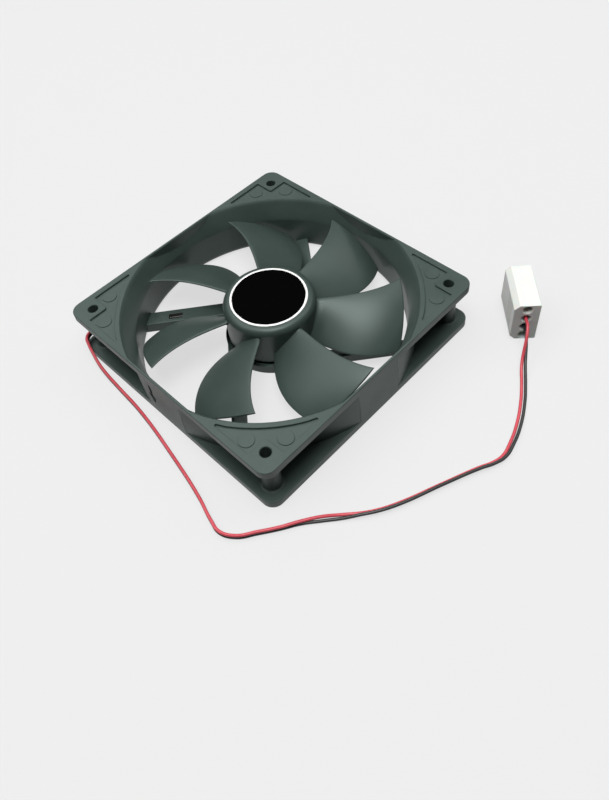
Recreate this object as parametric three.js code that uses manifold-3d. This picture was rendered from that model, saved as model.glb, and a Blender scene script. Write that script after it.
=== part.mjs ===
// 120 mm case fan with a sleeve-bearing brushless motor and a two-wire lead.
// Millimetres, +Z up. The origin is the middle of the exhaust face, which lies on z = 0;
// the intake face lies on z = FRAME.depth, and the impeller turns about the Z axis.

import * as THREE from 'three';
import { mergeVertices } from 'three/addons/utils/BufferGeometryUtils.js';
import Module from 'manifold-3d';

const wasm = await Module();
wasm.setup();

// ---------------------------------------------------------------- driving dimensions

const FIT = 0.1; // gap between pieces that seat on each other
const JOIN = 0.3; // gap between pieces that meet inside turned groups
const ROUND = 64; // facets round the duct

const FRAME = { side: 120, depth: 25, cornerR: 5, flange: 3.8 };
const SCREW = { inset: 7.5, holeR: 2.15, bossWall: 1.65 };
const DUCT_WALL = { atSides: 2.5, round: 3.5, atMouth: 1.1 };
const FLARE = {
  intake: 4.5, intakeHeight: 9.5,
  sweep: 38, // degrees of arc from the throat to the intake face
  exhaust: 2.5, exhaustHeight: 3.6,
};
const throatR = FRAME.side / 2 - DUCT_WALL.atSides;
const DUCT = {
  throatR, // straight middle of the airway
  outerR: throatR + DUCT_WALL.round, // outside of the duct wall between the flanges
  intakeR: throatR + FLARE.intake, // mouth of the airway at the intake face
  exhaustR: throatR + FLARE.exhaust,
};
const POCKET = { depth: 0.9, rim: 2.8, archGap: 2.2, landInset: 11.7 };
const PAD = { r: 3.15, height: 0.35, inset: [6.6, 16.6] };

const STRUT = { heading: 50, count: 4, offset: 17.6, width: 6, ridge: 4.6, low: 2.6, crest: 1.2 };
const WIRE_STRUT = {
  heading: STRUT.heading + (360 / STRUT.count) * 2, // takes the third strut's place
  offset: 15, width: 7.2, height: 5, skin: 1.4,
};
const GROOVE = { width: 4.6, inner: 8, past: 7 }; // past: how far its cutter runs beyond the duct
const NOTCH = { low: 0.8, top: 5.8, bite: 2.5 }; // opening through the duct wall, behind the flange
const WINDOW = { near: DUCT.throatR - 17.3, far: DUCT.throatR - 11.1, width: 2.8, aside: 0.4 };
const ARROW = { length: 12, width: 5, depth: 0.4, place: -7 };

const HUB = { r: 19.7, wall: 1.35, recess: 0.4, edgeR: 3, roof: 3.2, bossWall: 2.2, bossDrop: 6.4 };
const BASE = { rim: 1.5, wall: 1.6, floorLow: 0.5, floorTop: 2.4, wallTop: 4.6, gap: 1.2 };
const baseR = HUB.r + BASE.rim;
const hubTop = FRAME.depth - HUB.recess;
const hubCeiling = hubTop - HUB.roof;
const skirtLow = BASE.wallTop + BASE.gap;
const bossLow = hubTop - HUB.bossDrop;
const SOCKET = { wall: 1.6, top: 6 };

const BLADE = {
  count: 7,
  firstTip: 53.3, // bearing of the first leading tip, degrees from +X
  tipGap: 1.7, // to the straight part of the duct
  rootSink: 0.7, // how far the root runs into the hub's wall
  // root, bend and tip of each edge: degrees behind the leading tip, depth below the intake face
  // for the leading edge, and height over the struts for the trailing one
  leadAngle: [-5.5, -8.2, 0],
  leadDepth: [4.5, 3.9, 3.4],
  trailAngle: [-44.8, -46.5, -28.3],
  trailRise: [4.6, 5, 2.3],
  camber: 0.36,
  rootThickness: 1.7,
  tipThickness: 1.1,
};
const BLADE_EDGE = {
  tipR: DUCT.throatR - BLADE.tipGap,
  rootR: HUB.r - BLADE.rootSink,
  leadHeight: BLADE.leadDepth.map((depth) => FRAME.depth - depth),
  trailHeight: BLADE.trailRise.map((rise) => STRUT.ridge + rise),
};

const SHAFT = {
  r: 1.5, low: 2.8, endGap: 1.4, grooveDepth: 0.4, grooveLow: 3.8, grooveTop: 4.7, chamfer: 0.3,
};
const BEARING = { wall: 2.5, rise: 0.9, topGap: 1.8, running: 0.06 };
const shaftTop = hubTop - SHAFT.endGap;
const bossR = SHAFT.r + HUB.bossWall;
const bearingR = SHAFT.r + BEARING.wall;
const bearingLow = SHAFT.grooveTop + BEARING.rise;
const bearingTop = bossLow - BEARING.topGap;
const OIL_RING = { clearance: 0.5, height: 0.8 };
const THRUST = { clearance: 0.2, height: 0.5 };
const CLIP = { clearance: 0.1, inset: 0.9, height: 0.6, slot: 0.8 };
const TUBE = { wall: 0.5, low: 1, lip: 0.3 };
const tubeOuterR = bearingR + FIT + TUBE.wall;
const tubeTop = bearingTop + FIT + OIL_RING.height + TUBE.lip;

const YOKE = { clearance: 0.15, wall: 0.8, rise: 0.6, holeClearance: 0.3 };
const yokeLow = skirtLow + YOKE.rise;
const yokeR = HUB.r - HUB.wall - YOKE.clearance;
const yokeTop = hubCeiling - FIT;
const MAGNET = { thickness: 1.9, rise: 0.6, headroom: 2.1 };
const magnetLow = yokeLow + MAGNET.rise;
const magnetR = yokeR - YOKE.wall - FIT;
const BOARD = { edgeGap: 0.7, rise: 0.9, thickness: 1, slotNear: 6.9 };
const boardR = baseR - BASE.wall - BOARD.edgeGap;
const boardLow = BASE.floorTop + BOARD.rise;
const boardTop = boardLow + BOARD.thickness;
const STATOR = { airGap: 0.6, poles: 4, ringWall: 2.3, armWidth: 3.6, shoe: 1.6, shoeAngle: 34 };
const statorR = magnetR - MAGNET.thickness - STATOR.airGap;
const ringR = tubeOuterR + FIT + STATOR.ringWall;
const COIL = {
  width: 8.6, build: 2.1, slack: 0.3, rise: 3.2, headroom: 3, ringGap: 0.6, shoeGap: 0.38, edgeR: 1.6,
};
const coilLow = boardTop + COIL.rise;
const coilTop = yokeTop - YOKE.wall - COIL.headroom;
const coilNear = ringR + COIL.ringGap;
const coilFar = Math.sqrt((statorR - STATOR.shoe) ** 2 - (COIL.width / 2) ** 2) - COIL.shoeGap;
const coreLow = coilLow + COIL.build;
const coreHeight = coilTop - COIL.build - coreLow;
const INSULATOR = {
  spread: 3, thickness: 0.8, collarWall: 1.4, collarHeight: 1.4, cornerWidth: 3, fingerGap: 1,
};
const PIN = { r: 0.35, beyondRing: 2, count: 3 };
// the board's parts: width, depth and height, distance in from the board's rim, and bearing
const CHIPS = {
  hall_sensor: { size: [4, 1.6, 2], inset: 2.9, bearing: 45 },
  driver_chip: { size: [5, 3.8, 1.5], inset: 6.4, bearing: 90 },
  capacitor: { size: [3.2, 1.8, 1.6], inset: 6.4, bearing: 0 },
  reverse_diode: { size: [3.6, 2.2, 1.5], inset: 6.4, bearing: 310 },
};
const LABEL = { hubInset: 0.3, baseInset: 0.4, thickness: 0.25 };

const WIRE = { r: 0.65, between: 0.26, floorGap: 0.08 };
const wireSpacing = 2 * WIRE.r + WIRE.between;
const CONNECTOR = {
  place: [82.2, 66], heading: 133, width: 10.7, length: 23, chamfer: 2.2,
  pitch: 5.08, ways: 4, margin: 0.09, cavityR: 1.85, entry: 3, step: 1,
};
const connectorHeight = CONNECTOR.ways * CONNECTOR.pitch + 2 * CONNECTOR.margin;
const CONTACT = { clearance: 0.5, length: 15 };

// The free pair of wires, from the notch in the frame to the connector: x, y, the lift of the
// lower wire off the floor, and the pair's twist (0 red on the left, 90 red on top).
const PAIR_ROUTE = [
  [-51.0, -37.4, 3.3, 0],
  [-53.4, -40.3, 4.5, 8],
  [-56.0, -44.5, 5.2, 30],
  [-57.7, -49.0, 5.4, 60],
  [-58.9, -53.0, 5.4, 80],
  [-59.2, -56.2, 5.1, 90],
  [-57.9, -58.6, 4.7, 90],
  [-54.8, -60.0, 4.3, 90],
  [-50.4, -61.3, 3.2, 90],
  [-45.2, -62.5, 1.3, 90],
  [-38.3, -63.4, 0.3, 90],
  [-30.5, -64.0, 0, 90],
  [-11.8, -65.5, 0, 90],
  [14.5, -70.0, 0, 90],
  [35.6, -74.6, 0, 90],
  [45.9, -77.7, 0, 90],
  [51.2, -78.6, 0, 90],
  [56.8, -75.9, 0, 90],
  [61.8, -69.5, 0, 90],
  [66.5, -63.0, 0, 90],
  [70.6, -56.5, 0, 80],
  [75.2, -50.3, 0, 40],
  [80.1, -44.5, 0, -10],
  [84.4, -39.6, 0, -45],
  [88.3, -34.3, 0, -50],
  [92.2, -27.2, 0, -50],
  [98.9, -11.3, 0, -55],
  [105.2, 3.3, 0, -50],
  [107.8, 8.4, 0, -45],
  [109.0, 13.2, 0, -35],
  [108.0, 19.8, 0, -25],
  [105.2, 28.7, 0, -10],
  [100.4, 38.8, 0, 0],
  [96.1, 45.8, 0.2, 5],
  [91.6, 52.2, 1.8, 15],
];

// ---------------------------------------------------------------- shape helpers

/** A solid from a closed three.js geometry: shared corners merged, flat triangles dropped. */
function solid(geometry) {
  const bare = geometry.clone();
  bare.deleteAttribute('normal');
  bare.deleteAttribute('uv');
  const merged = mergeVertices(bare, 1e-4);
  const index = merged.getIndex().array;
  const triangles = [];
  for (let i = 0; i < index.length; i += 3) {
    const [a, b, c] = [index[i], index[i + 1], index[i + 2]];
    if (a !== b && b !== c && c !== a) triangles.push(a, b, c);
  }
  const mesh = new wasm.Mesh({
    numProp: 3,
    vertProperties: new Float32Array(merged.getAttribute('position').array),
    triVerts: new Uint32Array(triangles),
  });
  return new wasm.Manifold(mesh);
}

/** A three.js geometry from a solid. */
function geometryOf(body) {
  const mesh = body.getMesh();
  const geometry = new THREE.BufferGeometry();
  geometry.setAttribute('position', new THREE.BufferAttribute(new Float32Array(mesh.vertProperties), 3));
  geometry.setIndex(new THREE.BufferAttribute(new Uint32Array(mesh.triVerts), 1));
  geometry.computeVertexNormals();
  return geometry;
}

/** A ring or disc about Z from a closed outline of [radius, height] points, counter-clockwise. */
function turned(outline, segments = 36) {
  const points = [...outline, outline[0]].map(([r, h]) => new THREE.Vector2(r, h));
  return solid(new THREE.LatheGeometry(points, segments).rotateX(Math.PI / 2));
}

const disc = (r, low, top, segments = 36) => turned([[0, low], [r, low], [r, top], [0, top]], segments);

const ring = (innerR, outerR, low, top, segments = 36) =>
  turned([[innerR, low], [outerR, low], [outerR, top], [innerR, top]], segments);

const block = (width, depth, height, x, y, z) =>
  solid(new THREE.BoxGeometry(width, depth, height).translate(x, y, z + height / 2));

/** A flat outline of [x, y] points or a THREE.Shape, raised from low to top. */
function prism(outline, low, top, curveSegments = 6) {
  const shape = outline instanceof THREE.Shape
    ? outline : new THREE.Shape(outline.map(([x, y]) => new THREE.Vector2(x, y)));
  const settings = { depth: top - low, bevelEnabled: false, curveSegments };
  return solid(new THREE.ExtrudeGeometry(shape, settings).translate(0, 0, low));
}

/** A rectangle with rounded corners, centred on the origin. */
function roundedRectangle(width, depth, r) {
  const [x, y] = [width / 2, depth / 2];
  const shape = new THREE.Shape();
  shape.absarc(x - r, y - r, r, 0, Math.PI / 2);
  shape.absarc(-x + r, y - r, r, Math.PI / 2, Math.PI);
  shape.absarc(-x + r, -y + r, r, Math.PI, 1.5 * Math.PI);
  shape.absarc(x - r, -y + r, r, 1.5 * Math.PI, 2 * Math.PI);
  return shape;
}

const radians = (degrees) => THREE.MathUtils.degToRad(degrees);

/** A value bent from start to end by a middle one (a quadratic curve). */
const bent = ([start, middle, end], t) =>
  (1 - t) ** 2 * start + 2 * t * (1 - t) * middle + t ** 2 * end;

const union = (pieces) => pieces.reduce((whole, piece) => whole.add(piece));

/** Copies of a solid, turned about Z by equal steps. */
const around = (piece, count, first = 0) =>
  Array.from({ length: count }, (_, k) => piece.rotate(0, 0, first + (360 / count) * k));

const CORNERS = [[1, 1], [-1, 1], [-1, -1], [1, -1]];

/** Lays an outline raised along Z down along +X, with its x on Y and its y on Z. */
const ALONG_X = new THREE.Matrix4().makeBasis(
  new THREE.Vector3(0, 1, 0), new THREE.Vector3(0, 0, 1), new THREE.Vector3(1, 0, 0));

// ---------------------------------------------------------------- frame

/** The airway: a flared round bore, held inside the flat sides where its mouths are widest. */
function airway() {
  const steps = 3;
  const outline = [[0, -1], [DUCT.exhaustR, -1]];
  for (let i = 0; i <= steps; i += 1) {
    const a = (i / steps) * Math.PI / 2;
    outline.push([
      DUCT.throatR + FLARE.exhaust * (1 - Math.sin(a)),
      FLARE.exhaustHeight * (1 - Math.cos(a)),
    ]);
  }
  const sweep = radians(FLARE.sweep);
  for (let i = 0; i <= steps; i += 1) {
    const a = (i / steps) * sweep;
    outline.push([
      DUCT.throatR + FLARE.intake * (1 - Math.cos(a)) / (1 - Math.cos(sweep)),
      FRAME.depth - FLARE.intakeHeight * (1 - Math.sin(a) / Math.sin(sweep)),
    ]);
  }
  outline.push([DUCT.intakeR, FRAME.depth + 1], [0, FRAME.depth + 1]);
  const limit = FRAME.side - 2 * DUCT_WALL.atMouth;
  return turned(outline, ROUND).intersect(block(limit, limit, FRAME.depth + 4, 0, 0, -2));
}

/** One corner pocket of the intake flange, for the corner where x and y are positive. */
function cornerPocket() {
  const edge = FRAME.side / 2 - POCKET.rim;
  const land = FRAME.side / 2 - POCKET.landInset;
  const archR = DUCT.intakeR + POCKET.archGap;
  const tip = Math.sqrt(archR ** 2 - edge ** 2) + 1;
  const low = FRAME.depth - POCKET.depth;
  const top = FRAME.depth + 1;
  const square = prism([[tip, tip], [edge, tip], [edge, edge], [tip, edge]], low, top);
  const corner = block(20, 20, 4, land + 10, land + 10, low - 1);
  return square.subtract(disc(archR, low - 1, top + 1, ROUND)).subtract(corner);
}

/** The section of a plain strut, pushed out along +X: a slanted vane with a ridge on one side. */
function strut() {
  const far = DUCT.outerR;
  const [ridgeSide, lowSide] = [-STRUT.offset - STRUT.width / 2, -STRUT.offset + STRUT.width / 2];
  const section = new THREE.Shape([
    new THREE.Vector2(ridgeSide, 0), new THREE.Vector2(lowSide, 0), new THREE.Vector2(lowSide, STRUT.low),
    new THREE.Vector2(ridgeSide + STRUT.crest, STRUT.ridge), new THREE.Vector2(ridgeSide, STRUT.ridge),
  ]);
  const along = new THREE.ExtrudeGeometry(section, { depth: far, bevelEnabled: false });
  return solid(along.applyMatrix4(ALONG_X));
}

/** Spokes under the impeller, cut to the duct wall; the one under the wires is a wide channel. */
function struts() {
  const inWall = (DUCT.outerR + DUCT.exhaustR) / 2 + 0.1;
  const plain = strut();
  const pieces = [];
  for (let k = 0; k < STRUT.count; k += 1) {
    const heading = STRUT.heading + (360 / STRUT.count) * k;
    if (heading !== WIRE_STRUT.heading) pieces.push(plain.rotate(0, 0, heading));
  }
  const { offset, width, height, heading } = WIRE_STRUT;
  const channel = block(DUCT.outerR, width, height, DUCT.outerR / 2, -offset, 0).rotate(0, 0, heading);
  return union([...pieces, channel])
    .intersect(disc(inWall, -1, FRAME.depth, ROUND))
    .subtract(disc(baseR - BASE.wall / 2, -1, FRAME.depth, 48));
}

/** The groove for the wires: open below, a window in its roof, and a notch outside the duct. */
function wireGroove() {
  const { offset, height, skin, heading } = WIRE_STRUT;
  const { width, inner } = GROOVE;
  const outer = DUCT.outerR + GROOVE.past;
  const length = outer - inner;
  const roof = height - skin;
  const floorCut = 3; // how far the riser stays inside the motor base's rim
  const channel = block(length, width, roof + 1, inner + length / 2, -offset, -1);
  const riser = block(baseR - inner - floorCut, width, BASE.wallTop + 1, (baseR + inner - floorCut) / 2,
    -offset, -1);
  const windowLength = WINDOW.far - WINDOW.near;
  const window = block(windowLength, WINDOW.width, height, (WINDOW.near + WINDOW.far) / 2,
    -offset + WINDOW.aside, 1);
  const wallFar = Math.sqrt(DUCT.outerR ** 2 - (offset - width / 2) ** 2);
  const wallNear = wallFar - NOTCH.bite;
  const notchLength = outer - wallNear;
  const notch = block(notchLength, width, NOTCH.top - NOTCH.low, wallNear + notchLength / 2,
    -offset, NOTCH.low);
  return union([channel, riser, window, notch]).rotate(0, 0, heading);
}

/** The motor base: a shallow cup with a socket for the bearing tube. */
function motorBase() {
  const bore = tubeOuterR + FIT;
  const floor = ring(bore, baseR, BASE.floorLow, BASE.floorTop, 48);
  const wall = ring(baseR - BASE.wall, baseR, 0, BASE.wallTop, 48);
  const socket = ring(bore, bore + SOCKET.wall, BASE.floorLow, SOCKET.top);
  return union([floor, wall, socket]);
}

/** A plain airflow arrow to sink into the flat front side, pointing down towards the exhaust. */
function airflowArrow() {
  const { length, width, depth, place } = ARROW;
  const [half, neck] = [width / 2, width / 5];
  const outline = [
    [-neck, length / 2], [-neck, 0], [-half, 0], [0, -length / 2], [half, 0], [neck, 0], [neck, length / 2],
  ];
  const flat = prism(outline, 0, 1 + depth).rotate(90, 0, 0);
  return flat.translate(place, -FRAME.side / 2 + depth, FRAME.depth / 2);
}

function frameHousing() {
  const { side, depth, cornerR, flange } = FRAME;
  const plate = roundedRectangle(side, side, cornerR);
  const flanges = [prism(plate, 0, flange), prism(plate, depth - flange, depth)];
  const sleeve = disc(DUCT.outerR, 0, depth, ROUND).intersect(block(side, side, depth, 0, 0, 0));
  const hole = side / 2 - SCREW.inset;
  const bossR = SCREW.holeR + SCREW.bossWall;
  const bosses = CORNERS.map(([sx, sy]) =>
    disc(bossR, flange - 0.5, depth - flange + 0.5, 20).translate(sx * hole, sy * hole, 0));
  const screwHoles = CORNERS.map(([sx, sy]) =>
    disc(SCREW.holeR, -1, depth + 1, 20).translate(sx * hole, sy * hole, 0));
  const floor = depth - POCKET.depth;
  const [near, far] = PAD.inset.map((inset) => side / 2 - inset);
  const pads = [[near, far], [far, near]].map(([x, y]) =>
    disc(PAD.r, floor - 0.5, floor + PAD.height, 16).translate(x, y, 0));
  const shell = union([...flanges, sleeve, ...bosses])
    .subtract(airway())
    .subtract(union(around(cornerPocket(), 4)))
    .add(union(pads.flatMap((pad) => around(pad, 4))));
  return union([shell, struts(), motorBase()])
    .subtract(union(screwHoles))
    .subtract(wireGroove())
    .subtract(airflowArrow());
}

// ---------------------------------------------------------------- impeller

/** The middle surface of a blade: u runs from the leading to the trailing edge, v from root to tip. */
function bladePoint(u, v) {
  const r = THREE.MathUtils.lerp(BLADE_EDGE.rootR, BLADE_EDGE.tipR, v);
  const s = THREE.MathUtils.clamp((r - HUB.r) / (BLADE_EDGE.tipR - HUB.r), 0, 1);
  const angle = THREE.MathUtils.lerp(bent(BLADE.leadAngle, s), bent(BLADE.trailAngle, s), u);
  const fall = u - BLADE.camber * u * (1 - u);
  const height = THREE.MathUtils.lerp(bent(BLADE_EDGE.leadHeight, s), bent(BLADE_EDGE.trailHeight, s), fall);
  const a = radians(BLADE.firstTip + angle);
  return new THREE.Vector3(r * Math.cos(a), r * Math.sin(a), height);
}

/** One blade: a fine box bent over the middle surface, thickest before its middle. */
function blade() {
  const step = 0.01;
  const geometry = new THREE.BoxGeometry(1, 1, 1, 8, 5, 1);
  const position = geometry.getAttribute('position');
  for (let i = 0; i < position.count; i += 1) {
    const [u, v, side] = [position.getX(i) + 0.5, position.getY(i) + 0.5, position.getZ(i) * 2];
    const chord = bladePoint(u + step, v).sub(bladePoint(u - step, v));
    const span = bladePoint(u, v + step).sub(bladePoint(u, v - step));
    const normal = span.cross(chord).normalize();
    const taper = 0.45 + 0.55 * Math.sin(Math.PI * Math.sqrt(Math.max(u, 0)));
    const thickness = THREE.MathUtils.lerp(BLADE.rootThickness, BLADE.tipThickness, v) * taper;
    const point = bladePoint(u, v).addScaledVector(normal, (side * thickness) / 2);
    position.setXYZ(i, point.x, point.y, point.z);
  }
  const body = solid(geometry);
  return body.volume() > 0 ? body : solid(insideOut(geometry));
}

/** The same geometry with its triangles turned over. */
function insideOut(geometry) {
  const index = geometry.getIndex().clone();
  for (let i = 0; i < index.count; i += 3) {
    const first = index.getX(i);
    index.setX(i, index.getX(i + 2));
    index.setX(i + 2, first);
  }
  return geometry.clone().setIndex(index);
}

function hub() {
  const { r, wall, edgeR } = HUB;
  const inner = r - wall;
  const boreR = SHAFT.r + FIT / 2;
  const boreTop = shaftTop + FIT;
  const outline = [[0, boreTop], [boreR, boreTop], [boreR, bossLow], [bossR, bossLow], [bossR, hubCeiling],
    [inner, hubCeiling], [inner, skirtLow], [r, skirtLow]];
  const steps = 4;
  for (let i = 0; i <= steps; i += 1) {
    const a = (i / steps) * Math.PI / 2;
    outline.push([r - edgeR + edgeR * Math.cos(a), hubTop - edgeR + edgeR * Math.sin(a)]);
  }
  outline.push([0, hubTop]);
  return turned(outline, 48);
}

function impeller() {
  return union([hub(), ...around(blade(), BLADE.count)]);
}

// ---------------------------------------------------------------- rotor parts

const rotorYoke = () => {
  const inner = yokeR - YOKE.wall;
  const holeR = bossR + YOKE.holeClearance;
  return turned([[holeR, yokeTop - YOKE.wall], [inner, yokeTop - YOKE.wall], [inner, yokeLow],
    [yokeR, yokeLow], [yokeR, yokeTop], [holeR, yokeTop]]);
};

const ringMagnet = () =>
  ring(magnetR - MAGNET.thickness, magnetR, magnetLow, yokeTop - YOKE.wall - MAGNET.headroom);

const shaft = () => {
  const { r, low, chamfer, grooveLow, grooveTop } = SHAFT;
  const grooveR = r - SHAFT.grooveDepth;
  return turned([[0, low], [r - chamfer, low], [r, low + chamfer], [r, grooveLow], [grooveR, grooveLow],
    [grooveR, grooveTop], [r, grooveTop], [r, shaftTop], [0, shaftTop]], 28);
};

const retainingClip = () => {
  const low = (SHAFT.grooveLow + SHAFT.grooveTop - CLIP.height) / 2;
  const [bore, r] = [SHAFT.r - SHAFT.grooveDepth + CLIP.clearance, bearingR - CLIP.inset];
  const slot = block(r * 2, CLIP.slot, CLIP.height + 2, r, 0, low - 1);
  return ring(bore, r, low, low + CLIP.height, 28).subtract(slot);
};

const hubLabel = () =>
  disc(HUB.r - HUB.edgeR - LABEL.hubInset, hubTop + FIT / 2, hubTop + FIT / 2 + LABEL.thickness, 48);

// ---------------------------------------------------------------- bearing and stator

const bearingTube = () => ring(bearingR + FIT, tubeOuterR, TUBE.low, tubeTop, 32);

const sleeveBearing = () => ring(SHAFT.r + BEARING.running, bearingR, bearingLow, bearingTop, 32);

const oilRing = () => {
  const low = bearingTop + FIT;
  return ring(SHAFT.r + OIL_RING.clearance, bearingR, low, low + OIL_RING.height, 28);
};

const thrustWasher = () => {
  const top = bearingLow - FIT;
  return ring(SHAFT.r + THRUST.clearance, bearingR - THRUST.clearance, top - THRUST.height, top, 28);
};

function statorCore() {
  const { poles, armWidth, shoe, shoeAngle } = STATOR;
  const arm = block(statorR - ringR, armWidth, coreHeight, (statorR + ringR) / 2 - shoe / 2, 0, coreLow);
  const a = radians(shoeAngle);
  const shoeShape = new THREE.Shape();
  shoeShape.absarc(0, 0, statorR, -a, a);
  shoeShape.absarc(0, 0, statorR - shoe, a, -a, true);
  const pole = arm.add(prism(shoeShape, coreLow, coreLow + coreHeight, 8));
  return union([ring(tubeOuterR + FIT, ringR, coreLow, coreLow + coreHeight), ...around(pole, poles)]);
}

/** A bobbin half: a plate on the core and a collar round the tube; side is 1 above, -1 below. */
function insulator(side) {
  const { spread, thickness, collarWall, collarHeight, cornerWidth, fingerGap } = INSULATOR;
  const face = side > 0 ? coreLow + coreHeight + FIT : coreLow - FIT;
  const [low, top] = side > 0 ? [face, face + thickness] : [face - thickness, face];
  const inner = tubeOuterR + FIT;
  const start = inner + fingerGap;
  const plate = ring(inner, ringR, low, top, 32);
  const spoke = (width, end) => block(end - start, width, thickness, (end + start) / 2, 0, low);
  const fingers = around(spoke(STATOR.armWidth, coilFar), STATOR.poles);
  const corners = around(spoke(cornerWidth, ringR + spread), STATOR.poles, 180 / STATOR.poles);
  const collar = side > 0
    ? ring(inner, inner + collarWall, low, top + collarHeight, 32)
    : ring(inner, inner + collarWall, low - collarHeight / 2, top, 32);
  return union([plate, collar, ...fingers, ...corners]);
}

/** A winding round one pole arm: a loop with a window for the arm and its insulators. */
function coil() {
  const holeWidth = STATOR.armWidth + 2 * COIL.slack;
  const reach = FIT + INSULATOR.thickness + COIL.slack;
  const shape = roundedRectangle(COIL.width, coilTop - coilLow, COIL.edgeR);
  const settings = { depth: coilFar - coilNear, bevelEnabled: false, curveSegments: 4 };
  const geometry = new THREE.ExtrudeGeometry(shape, settings).applyMatrix4(ALONG_X);
  const body = solid(geometry.translate(coilNear, 0, (coilLow + coilTop) / 2));
  const hole = block(20, holeWidth, coreHeight + 2 * reach, (coilNear + coilFar) / 2, 0, coreLow - reach);
  return body.subtract(hole);
}

// ---------------------------------------------------------------- circuit board

function circuitBoard() {
  const socketR = tubeOuterR + FIT + SOCKET.wall + FIT;
  const slotLength = boardR - BOARD.slotNear + 1;
  const slot = block(slotLength, GROOVE.width, boardTop, BOARD.slotNear + slotLength / 2,
    -WIRE_STRUT.offset, BASE.floorTop - FIT).rotate(0, 0, WIRE_STRUT.heading);
  return ring(socketR, boardR, boardLow, boardTop).subtract(slot);
}

/** A moulded chip on the board. */
const chip = ({ size: [width, depth, height], inset, bearing }) =>
  block(depth, width, height, boardR - inset, 0, boardTop + FIT).rotate(0, 0, bearing);

const terminalPins = () => {
  const top = coreLow - FIT - INSULATOR.thickness - FIT;
  const pin = disc(PIN.r, boardTop + FIT, top, 10).translate(ringR + PIN.beyondRing, 0, 0);
  const between = 360 / STATOR.poles;
  return Array.from({ length: PIN.count }, (_, k) => pin.rotate(0, 0, between / 2 + between * k));
};

const baseLabel = () => {
  const top = BASE.floorLow - FIT;
  return disc(baseR - BASE.wall - LABEL.baseInset, top - LABEL.thickness, top, 48);
};

// ---------------------------------------------------------------- leads

/** A wire: an eight-sided section swept along a smooth curve through the points. */
function wire(points, steps) {
  const section = new THREE.Shape();
  section.absarc(0, 0, WIRE.r, 0, 2 * Math.PI);
  const curve = new THREE.CatmullRomCurve3(points, false, 'centripetal');
  const geometry = new THREE.ExtrudeGeometry(section, {
    steps, curveSegments: 4, bevelEnabled: false, extrudePath: curve,
  });
  const body = solid(geometry);
  return body.volume() > 0 ? body : solid(insideOut(mergeVertices(geometry)));
}

/** One wire of the free pair: side is 1 for red and -1 for black. */
function pairWire(side) {
  const half = wireSpacing / 2;
  const points = PAIR_ROUTE.map(([x, y, lift, twist], i) => {
    const before = PAIR_ROUTE[Math.max(i - 1, 0)];
    const after = PAIR_ROUTE[Math.min(i + 1, PAIR_ROUTE.length - 1)];
    const ahead = new THREE.Vector2(after[0] - before[0], after[1] - before[1]).normalize();
    const t = radians(twist);
    const across = side * half * Math.cos(t);
    const middle = lift + WIRE.r + WIRE.floorGap + half * Math.abs(Math.sin(t));
    return new THREE.Vector3(
      x - ahead.y * across, y + ahead.x * across, middle + side * half * Math.sin(t));
  });
  const row = side > 0 ? 0.5 : -0.5;
  const entry = (depth) => connectorPoint(0, row, depth);
  return [...points, entry(-4), entry(-1), entry(CONNECTOR.entry - JOIN)];
}

/** A wire inside the frame, from the board to the notch, on one side of the groove. */
function innerWire(side) {
  const across = -WIRE_STRUT.offset + side * (wireSpacing / 2);
  const a = radians(WIRE_STRUT.heading);
  const end = DUCT.outerR;
  const stations = [[7.5, 3.6], [10.5, 3.4], [14, 2.5], [18, 2.3], [30, 2.8], [end - 15, 2.8],
    [end - 7, 2.3], [end - 3.5, 2.4], [end - 0.2, 3.8]];
  return stations.map(([along, height]) => new THREE.Vector3(
    along * Math.cos(a) - across * Math.sin(a), along * Math.sin(a) + across * Math.cos(a), height));
}

// ---------------------------------------------------------------- connector

/** A point in the connector: across its width, in rows of pins from its middle, and along it. */
function connectorPoint(across, row, along) {
  const a = radians(CONNECTOR.heading);
  return new THREE.Vector3(
    CONNECTOR.place[0] + along * Math.cos(a) + across * Math.sin(a),
    CONNECTOR.place[1] + along * Math.sin(a) - across * Math.cos(a),
    connectorHeight / 2 + row * CONNECTOR.pitch);
}

/** Moves a solid made along +X from the origin to the connector's place. */
const atConnector = (body) =>
  body.rotate(0, 0, CONNECTOR.heading).translate(CONNECTOR.place[0], CONNECTOR.place[1], 0);

/** A round bar along +X. */
const barAlongX = (r, from, to, height, segments = 16) =>
  disc(r, from, to, segments).rotate(0, 90, 0).translate(0, 0, height);

function connectorHousing() {
  const { width, length, chamfer, pitch, ways, cavityR, entry, step } = CONNECTOR;
  const [half, c, height] = [width / 2, chamfer, connectorHeight];
  const outline = [
    [-half, 0], [half - c, 0], [half, c], [half, height - c], [half - c, height], [-half, height],
  ];
  const shape = new THREE.Shape(outline.map(([x, y]) => new THREE.Vector2(x, y)));
  const geometry = new THREE.ExtrudeGeometry(shape, { depth: length, bevelEnabled: false });
  let body = solid(geometry.applyMatrix4(ALONG_X));
  for (let i = 0; i < ways; i += 1) {
    const z = height / 2 + (i - (ways - 1) / 2) * pitch;
    body = body.subtract(barAlongX(cavityR, -1, length + 1, z));
  }
  const low = height / 5;
  const flat = block(length - entry * 2, step, height - 2 * low, length / 2 + entry, -half, low);
  return atConnector(body.subtract(flat));
}

function contact(row) {
  const from = CONNECTOR.entry + JOIN;
  const height = connectorHeight / 2 + row * CONNECTOR.pitch;
  const bar = barAlongX(CONNECTOR.cavityR - CONTACT.clearance, from, from + CONTACT.length, height, 12);
  return atConnector(bar);
}

// ---------------------------------------------------------------- assembly

const finish = (color, roughness, metalness = 0) =>
  new THREE.MeshStandardMaterial({ color, roughness, metalness });

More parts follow.
